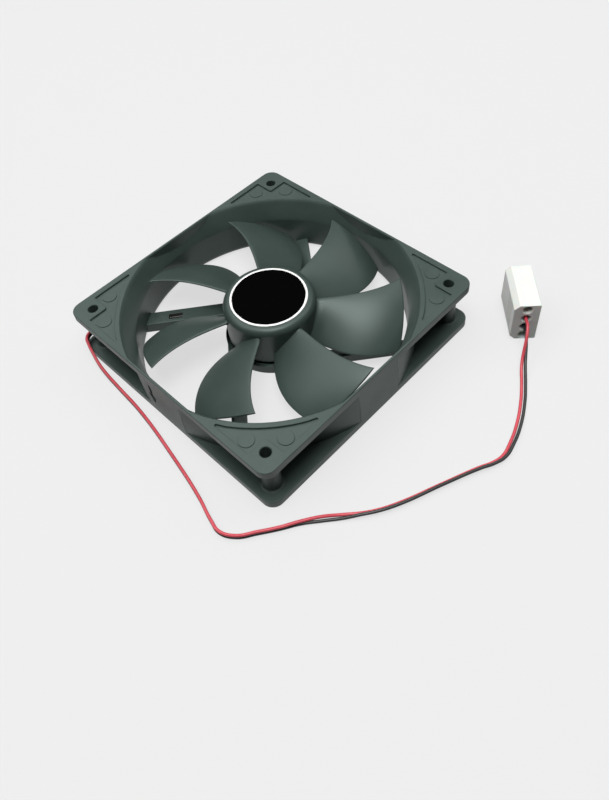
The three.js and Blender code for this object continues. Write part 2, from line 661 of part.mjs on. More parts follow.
const FINISH = {
  housing: finish('#3b423f', 0.6),
  impeller: finish('#39403e', 0.55),
  brass: finish('#b08d4a', 0.35, 1),
  bronze: finish('#8c6a45', 0.6, 1),
  steel: finish('#a5a8aa', 0.35, 1),
  lamination: finish('#6f7376', 0.5, 1),
  copper: finish('#a85a32', 0.35, 1),
  magnet: finish('#2a2a2b', 0.75),
  nylon: finish('#e9e6de', 0.5),
  board: finish('#1f5a36', 0.5),
  chip: finish('#1c1c1e', 0.5),
  rubber: finish('#1d1d1d', 0.9),
  redWire: finish('#c9313b', 0.45),
  blackWire: finish('#26282a', 0.45),
  connector: finish('#f1f0ea', 0.4),
  hubLabel: finish('#f4f4f2', 0.4),
  baseLabel: finish('#c9ccce', 0.4),
};

const fan = new THREE.Group();

/** Adds a named piece to a group. */
function add(group, name, body, material) {
  const mesh = new THREE.Mesh(geometryOf(body), material);
  mesh.name = name;
  group.add(mesh);
}

const stator = new THREE.Group();
fan.add(stator);
add(stator, 'frame_housing', frameHousing(), FINISH.housing);
add(stator, 'bearing_tube', bearingTube(), FINISH.brass);
add(stator, 'sleeve_bearing', sleeveBearing(), FINISH.bronze);
add(stator, 'oil_ring', oilRing(), FINISH.rubber);
add(stator, 'thrust_washer', thrustWasher(), FINISH.nylon);
add(stator, 'stator_core', statorCore(), FINISH.lamination);
add(stator, 'insulator_top', insulator(1), FINISH.nylon);
add(stator, 'insulator_bottom', insulator(-1), FINISH.nylon);
around(coil(), STATOR.poles).forEach((body, k) => add(stator, `coil_${k + 1}`, body, FINISH.copper));
add(stator, 'circuit_board', circuitBoard(), FINISH.board);
Object.entries(CHIPS).forEach(([name, place]) =>
  add(stator, name, chip(place), name === 'capacitor' ? FINISH.bronze : FINISH.chip));
terminalPins().forEach((body, k) => add(stator, `terminal_pin_${k + 1}`, body, FINISH.steel));
add(stator, 'base_label', baseLabel(), FINISH.baseLabel);
add(stator, 'inner_lead_red', wire(innerWire(1), 18), FINISH.redWire);
add(stator, 'inner_lead_black', wire(innerWire(-1), 18), FINISH.blackWire);

const rotor = new THREE.Group();
fan.add(rotor);
add(rotor, 'impeller', impeller(), FINISH.impeller);
add(rotor, 'rotor_yoke', rotorYoke(), FINISH.steel);
add(rotor, 'ring_magnet', ringMagnet(), FINISH.magnet);
add(rotor, 'shaft', shaft(), FINISH.steel);
add(rotor, 'retaining_clip', retainingClip(), FINISH.nylon);
add(rotor, 'hub_label', hubLabel(), FINISH.hubLabel);

const lead = new THREE.Group();
fan.add(lead);
add(lead, 'lead_red', wire(pairWire(1), 72), FINISH.redWire);
add(lead, 'lead_black', wire(pairWire(-1), 72), FINISH.blackWire);
add(lead, 'connector_housing', connectorHousing(), FINISH.connector);
add(lead, 'contact_red', contact(0.5), FINISH.brass);
add(lead, 'contact_black', contact(-0.5), FINISH.brass);

export default fan;
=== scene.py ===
"""Studio model of a 120 mm case fan.

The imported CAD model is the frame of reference. The classes below build the visible pieces round it:
the housing moulding, the impeller, the stickers, the wires and the plug. The parts of the motor keep
their CAD shapes and are dressed. Meshes are modelled in millimetres and turned to metres when each
piece is finished; the wires, the camera and the lights are in metres.
"""

from __future__ import annotations

import logging
import math
from dataclasses import dataclass
from enum import Enum
from typing import Mapping, Sequence

import bmesh
import bpy
from mathutils import Matrix, Vector

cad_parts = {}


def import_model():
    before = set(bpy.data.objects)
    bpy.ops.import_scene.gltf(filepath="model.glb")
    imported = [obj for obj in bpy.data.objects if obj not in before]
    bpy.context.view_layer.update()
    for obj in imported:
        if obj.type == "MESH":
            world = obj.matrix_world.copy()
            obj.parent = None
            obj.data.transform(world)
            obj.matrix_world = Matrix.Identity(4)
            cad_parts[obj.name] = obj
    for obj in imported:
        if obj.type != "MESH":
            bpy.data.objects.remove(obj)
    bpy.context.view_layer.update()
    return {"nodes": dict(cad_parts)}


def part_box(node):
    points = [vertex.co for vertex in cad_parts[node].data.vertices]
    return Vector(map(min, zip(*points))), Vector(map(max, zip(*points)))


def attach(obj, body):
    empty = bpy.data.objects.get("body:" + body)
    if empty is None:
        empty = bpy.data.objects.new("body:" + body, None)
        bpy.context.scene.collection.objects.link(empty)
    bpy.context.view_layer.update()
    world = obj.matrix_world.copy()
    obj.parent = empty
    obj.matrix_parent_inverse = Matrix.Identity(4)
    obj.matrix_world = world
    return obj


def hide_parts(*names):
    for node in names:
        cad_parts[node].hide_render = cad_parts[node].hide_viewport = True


LOG = logging.getLogger("case_fan")
MM = 0.001

Outline = list[tuple[float, float]]
Shape = bmesh.types.BMesh
Piece = bpy.types.Object
Tree = bpy.types.NodeTree
Socket = bpy.types.NodeSocket


# ---------------------------------------------------------------------- materials

# How the node patterns are tuned; lengths are in millimetres.
CLOUD_DETAIL = 3.0
PIT_DETAIL = 4.0
SOFT_DETAIL = 1.0
EDGE_DETAIL = 2.0
NOISE_FALLOFF = 0.55
COAT_ROUGHNESS = 0.2
MILK_DEPTH = 1.5
RINGS_PER_GRAIN = 0.32
RING_WOBBLE = 0.4
SCRATCH_STRETCH = 12.0
COLOUR_DRIFT = (0.3, 0.72)
POLISH_RANGE = (0.1, 0.45)
LEAST_ROUGHNESS = 0.02
INK_WANDER = 0.5


def linear(colour: str) -> tuple[float, float, float, float]:
    """Turns an sRGB hex colour to the linear values that the shader works in.

    Args:
        colour: The colour as "#rrggbb".

    Returns:
        Red, green, blue and an alpha of 1.
    """
    parts = [int(colour[i : i + 2], 16) / 255 for i in (1, 3, 5)]
    light = [p / 12.92 if p <= 0.04045 else ((p + 0.055) / 1.055) ** 2.4 for p in parts]
    return (light[0], light[1], light[2], 1.0)


def add_node(
    tree: Tree, kind: str, inputs: Mapping[str | int, object] | None = None, **settings: object
) -> bpy.types.Node:
    """Adds one shader node with its settings, constants and links.

    Args:
        tree: The material's node tree.
        kind: The node type, such as "ShaderNodeBump".
        inputs: For each input, by name or number, a constant or the socket that feeds it.
        **settings: Properties of the node itself.

    Returns:
        The new node.
    """
    node = tree.nodes.new(kind)
    for name, value in settings.items():
        setattr(node, name, value)
    for key, value in (inputs or {}).items():
        if isinstance(value, Socket):
            tree.links.new(value, node.inputs[key])
        else:
            node.inputs[key].default_value = value
    return node


def empty_material(name: str) -> tuple[bpy.types.Material, Tree]:
    """Makes a material without nodes, and returns it with its tree.

    Args:
        name: The material's name.

    Returns:
        The material and its node tree.
    """
    material = bpy.data.materials.new(name)
    material.use_nodes = True
    material.node_tree.nodes.clear()
    return material, material.node_tree


class Pattern(Enum):
    """How the surface of a material was made."""

    SPARK_ERODED = "fine pits of a spark-eroded mould"
    MOULDED = "smooth moulding with faint flow"
    TURNED = "rings left by a lathe"
    BRUSHED = "short scratches of rolled and punched sheet"
    PRINTED = "film or paper with a printed face"
    WOUND = "enamelled wire, turn beside turn"


@dataclass(frozen=True)
class Finish:
    """A real material, with how its surface was made.

    Sizes are in millimetres: grain is the distance between two pits or scratches, relief is how
    deep they are, and patch is the size of the soft drifts of colour.
    """

    name: str
    colour: str
    second: str
    roughness: float
    pattern: Pattern = Pattern.MOULDED
    metallic: float = 0.0
    ior: float = 1.5
    grain: float = 0.6
    relief: float = 0.01
    patch: float = 14.0
    spread: float = 0.06
    coat: float = 0.0
    specular: float = 0.5
    tint: str = "#ffffff"
    translucence: float = 0.0

    def material(self) -> bpy.types.Material:
        """Builds the shader.

        Returns:
            The material, ready to be put on a piece.
        """
        material, tree = empty_material(self.name)
        place = add_node(tree, "ShaderNodeTexCoord").outputs["Object"]
        clouds = self._noise(tree, place, self.patch, CLOUD_DETAIL)
        grain = self._grain(tree, place)
        surface = {
            "Base Color": self._colour(tree, place, clouds),
            "Roughness": self._roughness(tree, clouds, grain),
            "Metallic": self.metallic,
            "IOR": self.ior,
            "Coat Weight": self.coat,
            "Coat Roughness": COAT_ROUGHNESS,
            "Specular IOR Level": self.specular,
            "Specular Tint": linear(self.tint),
            "Subsurface Weight": self.translucence,
            "Subsurface Scale": MILK_DEPTH * MM,
            "Normal": self._relief(tree, grain),
        }
        shader = add_node(tree, "ShaderNodeBsdfPrincipled", surface)
        add_node(tree, "ShaderNodeOutputMaterial", {"Surface": shader.outputs["BSDF"]})
        return material

    def _noise(self, tree: Tree, place: Socket, size: float, detail: float) -> Socket:
        """A cloudy value from 0 to 1, with blobs of a size in millimetres.

        Args:
            tree: The material's node tree.
            place: Where on the piece the value is wanted.
            size: The size of a blob, in millimetres.
            detail: How many finer layers lie on it.

        Returns:
            The value.
        """
        scale = 1 / (size * MM)
        inputs = {"Vector": place, "Scale": scale, "Detail": detail, "Roughness": NOISE_FALLOFF}
        return add_node(tree, "ShaderNodeTexNoise", inputs).outputs["Fac"]

    def _grain(self, tree: Tree, place: Socket) -> Socket:
        """The height of the fine pattern, from 0 to 1.

        Args:
            tree: The material's node tree.
            place: Where on the piece the value is wanted.

        Returns:
            The height.
        """
        if self.pattern is Pattern.TURNED:
            scale = RINGS_PER_GRAIN / (self.grain * MM)
            waves = {"Vector": place, "Scale": scale, "Distortion": RING_WOBBLE}
            rings = {"wave_type": "RINGS", "rings_direction": "Z"}
            return add_node(tree, "ShaderNodeTexWave", waves, **rings).outputs["Fac"]
        if self.pattern is Pattern.BRUSHED:
            stretch = {"Vector": place, "Scale": (1.0, SCRATCH_STRETCH, SCRATCH_STRETCH)}
            drawn = add_node(tree, "ShaderNodeMapping", stretch).outputs["Vector"]
            return self._noise(tree, drawn, self.grain * SCRATCH_STRETCH, EDGE_DETAIL)
        detail = PIT_DETAIL if self.pattern is Pattern.SPARK_ERODED else SOFT_DETAIL
        return self._noise(tree, place, self.grain, detail)

    def _colour(self, tree: Tree, place: Socket, clouds: Socket) -> Socket:
        """The base colour, drifting softly between the two colours of the material.

        Args:
            tree: The material's node tree.
            place: Where on the piece the value is wanted.
            clouds: The soft drifts, from 0 to 1.

        Returns:
            The colour.
        """
        ramp = add_node(tree, "ShaderNodeValToRGB", {"Fac": clouds})
        ends = zip(ramp.color_ramp.elements, COLOUR_DRIFT, (self.colour, self.second))
        for stop, position, colour in ends:
            stop.position = position
            stop.color = linear(colour)
        return ramp.outputs["Color"]

    def _roughness(self, tree: Tree, clouds: Socket, grain: Socket) -> Socket:
        """The roughness, varied by where hands and the mould have polished the surface.

        Args:
            tree: The material's node tree.
            clouds: The soft drifts, from 0 to 1.
            grain: The height of the fine pattern.

        Returns:
            The roughness.
        """
        both = add_node(tree, "ShaderNodeMath", {0: clouds, 1: grain}, operation="MULTIPLY")
        limits = {
            "Value": both.outputs["Value"],
            "From Min": POLISH_RANGE[0],
            "From Max": POLISH_RANGE[1],
            "To Min": max(self.roughness - self.spread, LEAST_ROUGHNESS),
            "To Max": min(self.roughness + self.spread, 1.0),
        }
        return add_node(tree, "ShaderNodeMapRange", limits).outputs["Result"]

    def _relief(self, tree: Tree, grain: Socket) -> Socket:
        """The bump of the fine pattern."""
        inputs = {"Height": grain, "Distance": self.relief * MM, "Strength": 1.0}
        return add_node(tree, "ShaderNodeBump", inputs).outputs["Normal"]


@dataclass(frozen=True)
class PrintedDisc(Finish):
    """A round sticker: a printed field inside a plain rim, both seen through a thin film."""

    print_colour: str = "#050505"
    print_radius: float = 15.5
    ragged: float = 3.0

    def _colour(self, tree: Tree, place: Socket, clouds: Socket) -> Socket:
        """Ink inside the print's radius, with an edge that wanders a little.

        Args:
            tree: The material's node tree.
            place: Where on the piece the value is wanted.
            clouds: The soft drifts, from 0 to 1.

        Returns:
            The colour.
        """
        level = {0: place, 1: (1.0, 1.0, 0.0)}
        flat = add_node(tree, "ShaderNodeVectorMath", level, operation="MULTIPLY")
        spoke = {0: flat.outputs["Vector"]}
        radius = add_node(tree, "ShaderNodeVectorMath", spoke, operation="LENGTH")
        wander = self._noise(tree, place, self.ragged, EDGE_DETAIL)
        offset = {0: wander, 1: INK_WANDER * MM, 2: radius.outputs["Value"]}
        edge = add_node(tree, "ShaderNodeMath", offset, operation="MULTIPLY_ADD")
        reach = (self.print_radius + INK_WANDER / 2) * MM
        within = {0: edge.outputs["Value"], 1: reach}
        inside = add_node(tree, "ShaderNodeMath", within, operation="LESS_THAN")
        paper = super()._colour(tree, place, clouds)
        inks = {"Factor": inside.outputs["Value"], 6: paper, 7: linear(self.print_colour)}
        return add_node(tree, "ShaderNodeMix", inks, data_type="RGBA").outputs[2]


# Glass-filled PBT from a spark-eroded mould: a matt dark grey with a green cast. Its pits are about
# 0.1 mm apart, and are drawn at 0.45 mm so that they still break up the light.
HOUSING_PBT = Finish(
    "pbt_housing_spark_eroded", "#394642", "#424f4b", 0.44, Pattern.SPARK_ERODED,
    tint="#e9f8f2", grain=0.45, relief=0.012, spread=0.07, patch=18.0,
)
# The impeller comes from a smoother cavity, so it has a softer, broader shine than the housing.
IMPELLER_PBT = Finish(
    "pbt_impeller_satin", "#36423e", "#3d4a46", 0.40, Pattern.SPARK_ERODED,
    tint="#e9f8f2", grain=0.35, relief=0.007, spread=0.05, patch=22.0,
)
# PVC insulation: soft, slightly glossy, and a little cloudy under its skin.
RED_PVC = Finish(
    "pvc_insulation_red", "#d04452", "#d9555f", 0.36, grain=1.6, relief=0.02, patch=9.0
)
BLACK_PVC = Finish(
    "pvc_insulation_black", "#2b2c2c", "#3a3b3a", 0.36, grain=1.6, relief=0.02, patch=9.0
)
# Natural nylon 66: milky, lets some light in, and has a soft satin skin.
NATURAL_NYLON = Finish(
    "nylon_natural", "#eceee9", "#e7eae5", 0.42,
    ior=1.53, grain=1.2, relief=0.006, translucence=0.25,
)
# Sticker paper with a black printed field, matt enough to stay black under the lights.
HUB_PAPER = PrintedDisc(
    "sticker_paper_white_rim", "#f6f6f4", "#efefed", 0.7, Pattern.PRINTED,
    grain=0.5, relief=0.003, specular=0.02, print_colour="#020202",
)
# Metallised polyester film on the motor base.
SILVER_FILM = PrintedDisc(
    "label_film_silver", "#b9bdbf", "#c6cacc", 0.33, Pattern.PRINTED, 0.6,
    grain=1.0, relief=0.004, print_colour="#6d7275", print_radius=17.4,
)
TURNED_BRASS = Finish(
    "brass_turned", "#b8964f", "#c2a05a", 0.28, Pattern.TURNED, 1.0, grain=0.25, relief=0.004
)
# Sintered bronze is pressed powder soaked with oil: brown, matt and finely pitted.
SINTERED_BRONZE = Finish(
    "bronze_sintered_oiled", "#7c5f41", "#8d6d4a", 0.5, Pattern.SPARK_ERODED, 0.9,
    grain=0.3, relief=0.02,
)
LAMINATION_STEEL = Finish(
    "silicon_steel_punched", "#6c7073", "#7c8083", 0.42, Pattern.BRUSHED, 1.0,
    grain=0.3, relief=0.006,
)
ZINCED_STEEL = Finish(
    "steel_pressed_zinc_plated", "#a2a5a7", "#b4b7b9", 0.33, Pattern.BRUSHED, 1.0,
    grain=0.4, relief=0.004,
)
GROUND_STEEL = Finish(
    "steel_shaft_ground", "#b3b5b7", "#c0c2c4", 0.16, Pattern.TURNED, 1.0, grain=0.15, relief=0.001
)
BRIGHT_TIN = Finish(
    "tin_plate_bright", "#bdbdba", "#c8c8c5", 0.24, Pattern.BRUSHED, 1.0, grain=0.5, relief=0.003
)
# Enamelled copper: the clear coat over the metal gives the winding its wet shine.
ENAMELLED_COPPER = Finish(
    "copper_wire_enamelled", "#a4562d", "#b4663a", 0.3, Pattern.WOUND, 0.85,
    grain=0.5, relief=0.01, coat=0.6,
)
BONDED_FERRITE = Finish(
    "ferrite_rubber_bonded", "#2b2b2c", "#343435", 0.62, Pattern.SPARK_ERODED,
    grain=0.5, relief=0.02,
)
SOLDER_MASK = Finish(
    "glass_epoxy_solder_mask", "#1d5a38", "#246643", 0.32, grain=0.9, relief=0.008, coat=0.3
)
MOULDED_EPOXY = Finish(
    "epoxy_moulded_black", "#18181a", "#202022", 0.5, Pattern.SPARK_ERODED,
    grain=0.3, relief=0.01,
)
FIRED_CERAMIC = Finish("ceramic_fired", "#a88a5f", "#b3956a", 0.5, grain=0.7, relief=0.01)
NITRILE = Finish(
    "nitrile_rubber", "#191919", "#212121", 0.75, Pattern.SPARK_ERODED, grain=0.6, relief=0.015
)


# ---------------------------------------------------------------------- shape tools

# In millimetres: how near two points of a fresh shape, or of a finished piece, are when they count
# as one, and how little an edge may rise and still be level.
SAME_POINT = 1e-4
WELD = 0.004
LEVEL = 1e-6


def filleted(corners: Sequence[tuple[float, float, float]], steps: int = 4) -> Outline:
    """Rounds the corners of a closed outline.

    Args:
        corners: x, y and the radius of each corner; a radius of 0 leaves it sharp.
        steps: Straight pieces in each round.

    Returns:
        The points of the outline, in the same order.
    """
    points: Outline = []
    count = len(corners)
    for i, (x, y, radius) in enumerate(corners):
        corner = Vector((x, y))
        if radius <= 0:
            points.append((x, y))
            continue
        before = (Vector(corners[i - 1][:2]) - corner).normalized()
        after = (Vector(corners[(i + 1) % count][:2]) - corner).normalized()
        half = before.angle(after) / 2
        centre = corner + (before + after).normalized() * (radius / math.sin(half))
        start = corner + before * (radius / math.tan(half)) - centre
        end = corner + after * (radius / math.tan(half)) - centre
        sweep = start.angle_signed(end)
        for k in range(steps + 1):
            # mathutils turns clockwise for a positive signed angle, so the sweep is negated
            point = centre + Matrix.Rotation(-sweep * k / steps, 2) @ start
            points.append((point.x, point.y))
    return points


def arc(
    radius: float, start: float, end: float, steps: int, centre: tuple[float, float] = (0.0, 0.0)
) -> Outline:
    """Points along a circular arc.

    Args:
        radius: Radius of the arc.
        start: Bearing of its first point, in degrees.
        end: Bearing of its last point, in degrees.
        steps: Straight pieces in the arc.
        centre: Middle of the circle.

    Returns:
        The points from start to end.
    """
    bearings = [math.radians(start + (end - start) * k / steps) for k in range(steps + 1)]
    return [(centre[0] + radius * math.cos(a), centre[1] + radius * math.sin(a)) for a in bearings]


def lathe(profile: Outline, steps: int = 128) -> Shape:
    """Spins an outline of (radius, height) points round the Z axis.

    Args:
        profile: A closed outline, or one whose two ends stand on the axis.
        steps: Facets round the axis.

    Returns:
        The turned solid.
    """
    bm = bmesh.new()
    verts = [bm.verts.new((r, 0.0, z)) for r, z in profile]
    pairs = list(zip(verts, verts[1:]))
    if profile[0][0] > 0 or profile[-1][0] > 0:
        pairs.append((verts[-1], verts[0]))
    edges = [bm.edges.new(pair) for pair in pairs]
    bmesh.ops.spin(
        bm,
        geom=verts + edges,
        cent=(0, 0, 0),
        axis=(0, 0, 1),
        angle=math.tau,
        steps=steps,
        use_merge=True,
    )
    bmesh.ops.remove_doubles(bm, verts=bm.verts[:], dist=SAME_POINT)
    bmesh.ops.recalc_face_normals(bm, faces=bm.faces[:])
    return bm


def prism(
    outline: Outline, low: float, top: float, rim: float = 0.0, rim_steps: int = 3
) -> Shape:
    """Raises a flat outline into a solid and rounds its two rims.

    Args:
        outline: The closed outline in x and y.
        low: Height of the lower face.
        top: Height of the upper face.
        rim: Radius of the rounds along both rims.
        rim_steps: Straight pieces in each round.

    Returns:
        The solid.
    """
    bm = bmesh.new()
    face = bm.faces.new([bm.verts.new((x, y, low)) for x, y in outline])
    raised = bmesh.ops.extrude_face_region(bm, geom=[face])
    upper = [g for g in raised["geom"] if isinstance(g, bmesh.types.BMVert)]
    bmesh.ops.translate(bm, verts=upper, vec=(0, 0, top - low))
    bmesh.ops.recalc_face_normals(bm, faces=bm.faces[:])
    if rim > 0:
        level = [e for e in bm.edges if abs(e.verts[0].co.z - e.verts[1].co.z) < LEVEL]
        bmesh.ops.bevel(
            bm,
            geom=level,
            offset=rim,
            offset_type="OFFSET",
            segments=rim_steps,
            profile=0.5,
            affect="EDGES",
            clamp_overlap=False,
            material=-1,
        )
    return bm


def moved(bm: Shape, matrix: Matrix) -> Shape:
    """Places a shape by a matrix that neither mirrors nor shears it, and returns it."""
    bmesh.ops.transform(bm, matrix=matrix, verts=bm.verts[:])
    return bm


def turn(degrees: float, axis: str = "Z") -> Matrix:
    """A turn about an axis through the origin."""
    return Matrix.Rotation(math.radians(degrees), 4, axis)


def shift(x: float = 0.0, y: float = 0.0, z: float = 0.0) -> Matrix:
    """A straight move."""
    return Matrix.Translation((x, y, z))


# Turns a shape raised along Z into one pushed out along X, with the outline's x on Y and y on Z.
ALONG_X = Matrix(((0, 0, 1, 0), (1, 0, 0, 0), (0, 1, 0, 0), (0, 0, 0, 1)))


def piece_of(bm: Shape, name: str) -> Piece:
    """Makes an object from a shape and frees the shape.

    Args:
        bm: The shape.
        name: The object's name.

    Returns:
        The object.
    """
    mesh = bpy.data.meshes.new(name)
    bm.to_mesh(mesh)
    bm.free()
    piece = bpy.data.objects.new(name, mesh)
    bpy.context.scene.collection.objects.link(piece)
    return piece


def settle(piece: Piece) -> None:
    """Replaces a piece's mesh with what its modifiers make of it.

    Args:
        piece: The piece, whose modifiers are cleared.
    """
    graph = bpy.context.evaluated_depsgraph_get()
    mesh = bpy.data.meshes.new_from_object(piece.evaluated_get(graph), depsgraph=graph)
    piece.modifiers.clear()
    piece.data = mesh


class Cut(Enum):
    """What a boolean step does with its tools."""

    JOIN = "UNION"
    REMOVE = "DIFFERENCE"
    KEEP = "INTERSECT"


def carve(piece: Piece, cut: Cut, *tools: Shape) -> Piece:
    """Joins, removes or intersects a piece with other solids, one after another.

    Args:
        piece: The piece to change.
        cut: What to do with the tools.
        *tools: Closed shapes, freed afterwards.

    Returns:
        The piece.
    """
    for tool in tools:
        other = piece_of(tool, "tool")
        step = piece.modifiers.new("step", "BOOLEAN")
        step.operation = cut.value
        step.solver = "MANIFOLD"
        step.object = other
        settle(piece)
        mesh = other.data
        bpy.data.objects.remove(other)
        bpy.data.meshes.remove(mesh)
    return piece


def finished(
    piece: Piece,
    finish: Finish,
    body: str,
    slot: str,
    *nodes: str,
    smooth: float = 32.0,
) -> Piece:
    """Brings a mesh piece to metres, shades it, dresses it and hands it to the frame.

    Args:
        piece: The modelled piece.
        finish: Its material.
        body: The body that it rides on.
        slot: Not used.
        *nodes: The CAD nodes that it stands for.
        smooth: Edges sharper than this angle in degrees stay sharp.

    Returns:
        The piece.
    """
    if piece.type == "MESH":
        mesh = piece.data
        bm = bmesh.new()
        bm.from_mesh(mesh)
        bmesh.ops.remove_doubles(bm, verts=bm.verts[:], dist=WELD)
        bmesh.ops.dissolve_degenerate(bm, edges=bm.edges[:], dist=WELD)
        bmesh.ops.scale(bm, vec=(MM, MM, MM), verts=bm.verts[:])
        limit = math.radians(smooth)
        for face in bm.faces:
            face.smooth = True
        for edge in bm.edges:
            edge.smooth = len(edge.link_faces) != 2 or edge.calc_face_angle() < limit
        bm.to_mesh(mesh)
        bm.free()
        weigh = piece.modifiers.new("weighted_normals", "WEIGHTED_NORMAL")
        weigh.keep_sharp = True
        weigh.weight = 60
    piece.data.materials.clear()
    piece.data.materials.append(finish.material())
    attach(piece, body)
    if nodes:
        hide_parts(*nodes)
    LOG.info("%s rides %s, stands for %s", piece.name, body, ", ".join(nodes) or "itself")
    return piece


# ---------------------------------------------------------------------- camera


@dataclass(frozen=True)
class Viewpoint:
    """The camera: where it stands, which way it looks and how wide."""

    place: tuple[float, float, float] = (0.1688, -0.1261, 0.2471)
    azimuth: float = 49.56
    elevation: float = 48.77
    roll: float = 7.40
    lens: float = 33.16
    shift_y: float = -0.1

    def build(self) -> Piece:
        """Makes the scene's camera.

        Returns:
            The camera object.
        """
        bearing, height = math.radians(self.azimuth), math.radians(self.elevation)
        flat = Vector((-math.sin(bearing), math.cos(bearing), 0.0))
        ahead = flat * math.cos(height) - Vector((0.0, 0.0, math.sin(height)))
        right = Vector((math.cos(bearing), math.sin(bearing), 0.0))
        right = Matrix.Rotation(math.radians(self.roll), 3, ahead) @ right
        above = right.cross(ahead)
        axes = Matrix((right, above, -ahead)).transposed().to_4x4()
        data = bpy.data.cameras.new("studio_camera")
        data.sensor_width = 36.0
        data.lens = self.lens
        data.shift_y = self.shift_y
        data.clip_start = 0.01
        data.clip_end = 20.0
        camera = bpy.data.objects.new("studio_camera", data)
        camera.matrix_world = Matrix.Translation(self.place) @ axes
        bpy.context.scene.collection.objects.link(camera)
        bpy.context.scene.camera = camera
        return camera


# ---------------------------------------------------------------------- wires


class Lead(Enum):
    """The two wires; the value is the side of the pair that each one is on."""

    RED = 1
    BLACK = -1

    @property
    def finish(self) -> Finish:
        """The wire's insulation."""
        return RED_PVC if self is Lead.RED else BLACK_PVC

    @property
    def colour(self) -> str:
        """The colour's name, as the nodes have it."""
        return self.name.lower()


@dataclass
class PlugPlace:
    """Where the plug stands, in metres, and how its rows of contacts lie."""

    place: tuple[float, float] = (0.0822, 0.066)
    heading: float = 133.0
    height: float = 0.0205
    pitch: float = 0.00508

    def point(self, across: float, row: float, along: float) -> Vector:
        """A point in the plug.

        Args:
            across: Distance to the side of its middle.
            row: Height above its middle, in pitches.
            along: Distance from the face where the wires go in.

        Returns:
            The point in the scene.
        """
        height = self.height / 2 + row * self.pitch
        return shift(*self.place) @ turn(self.heading) @ Vector((along, -across, height))


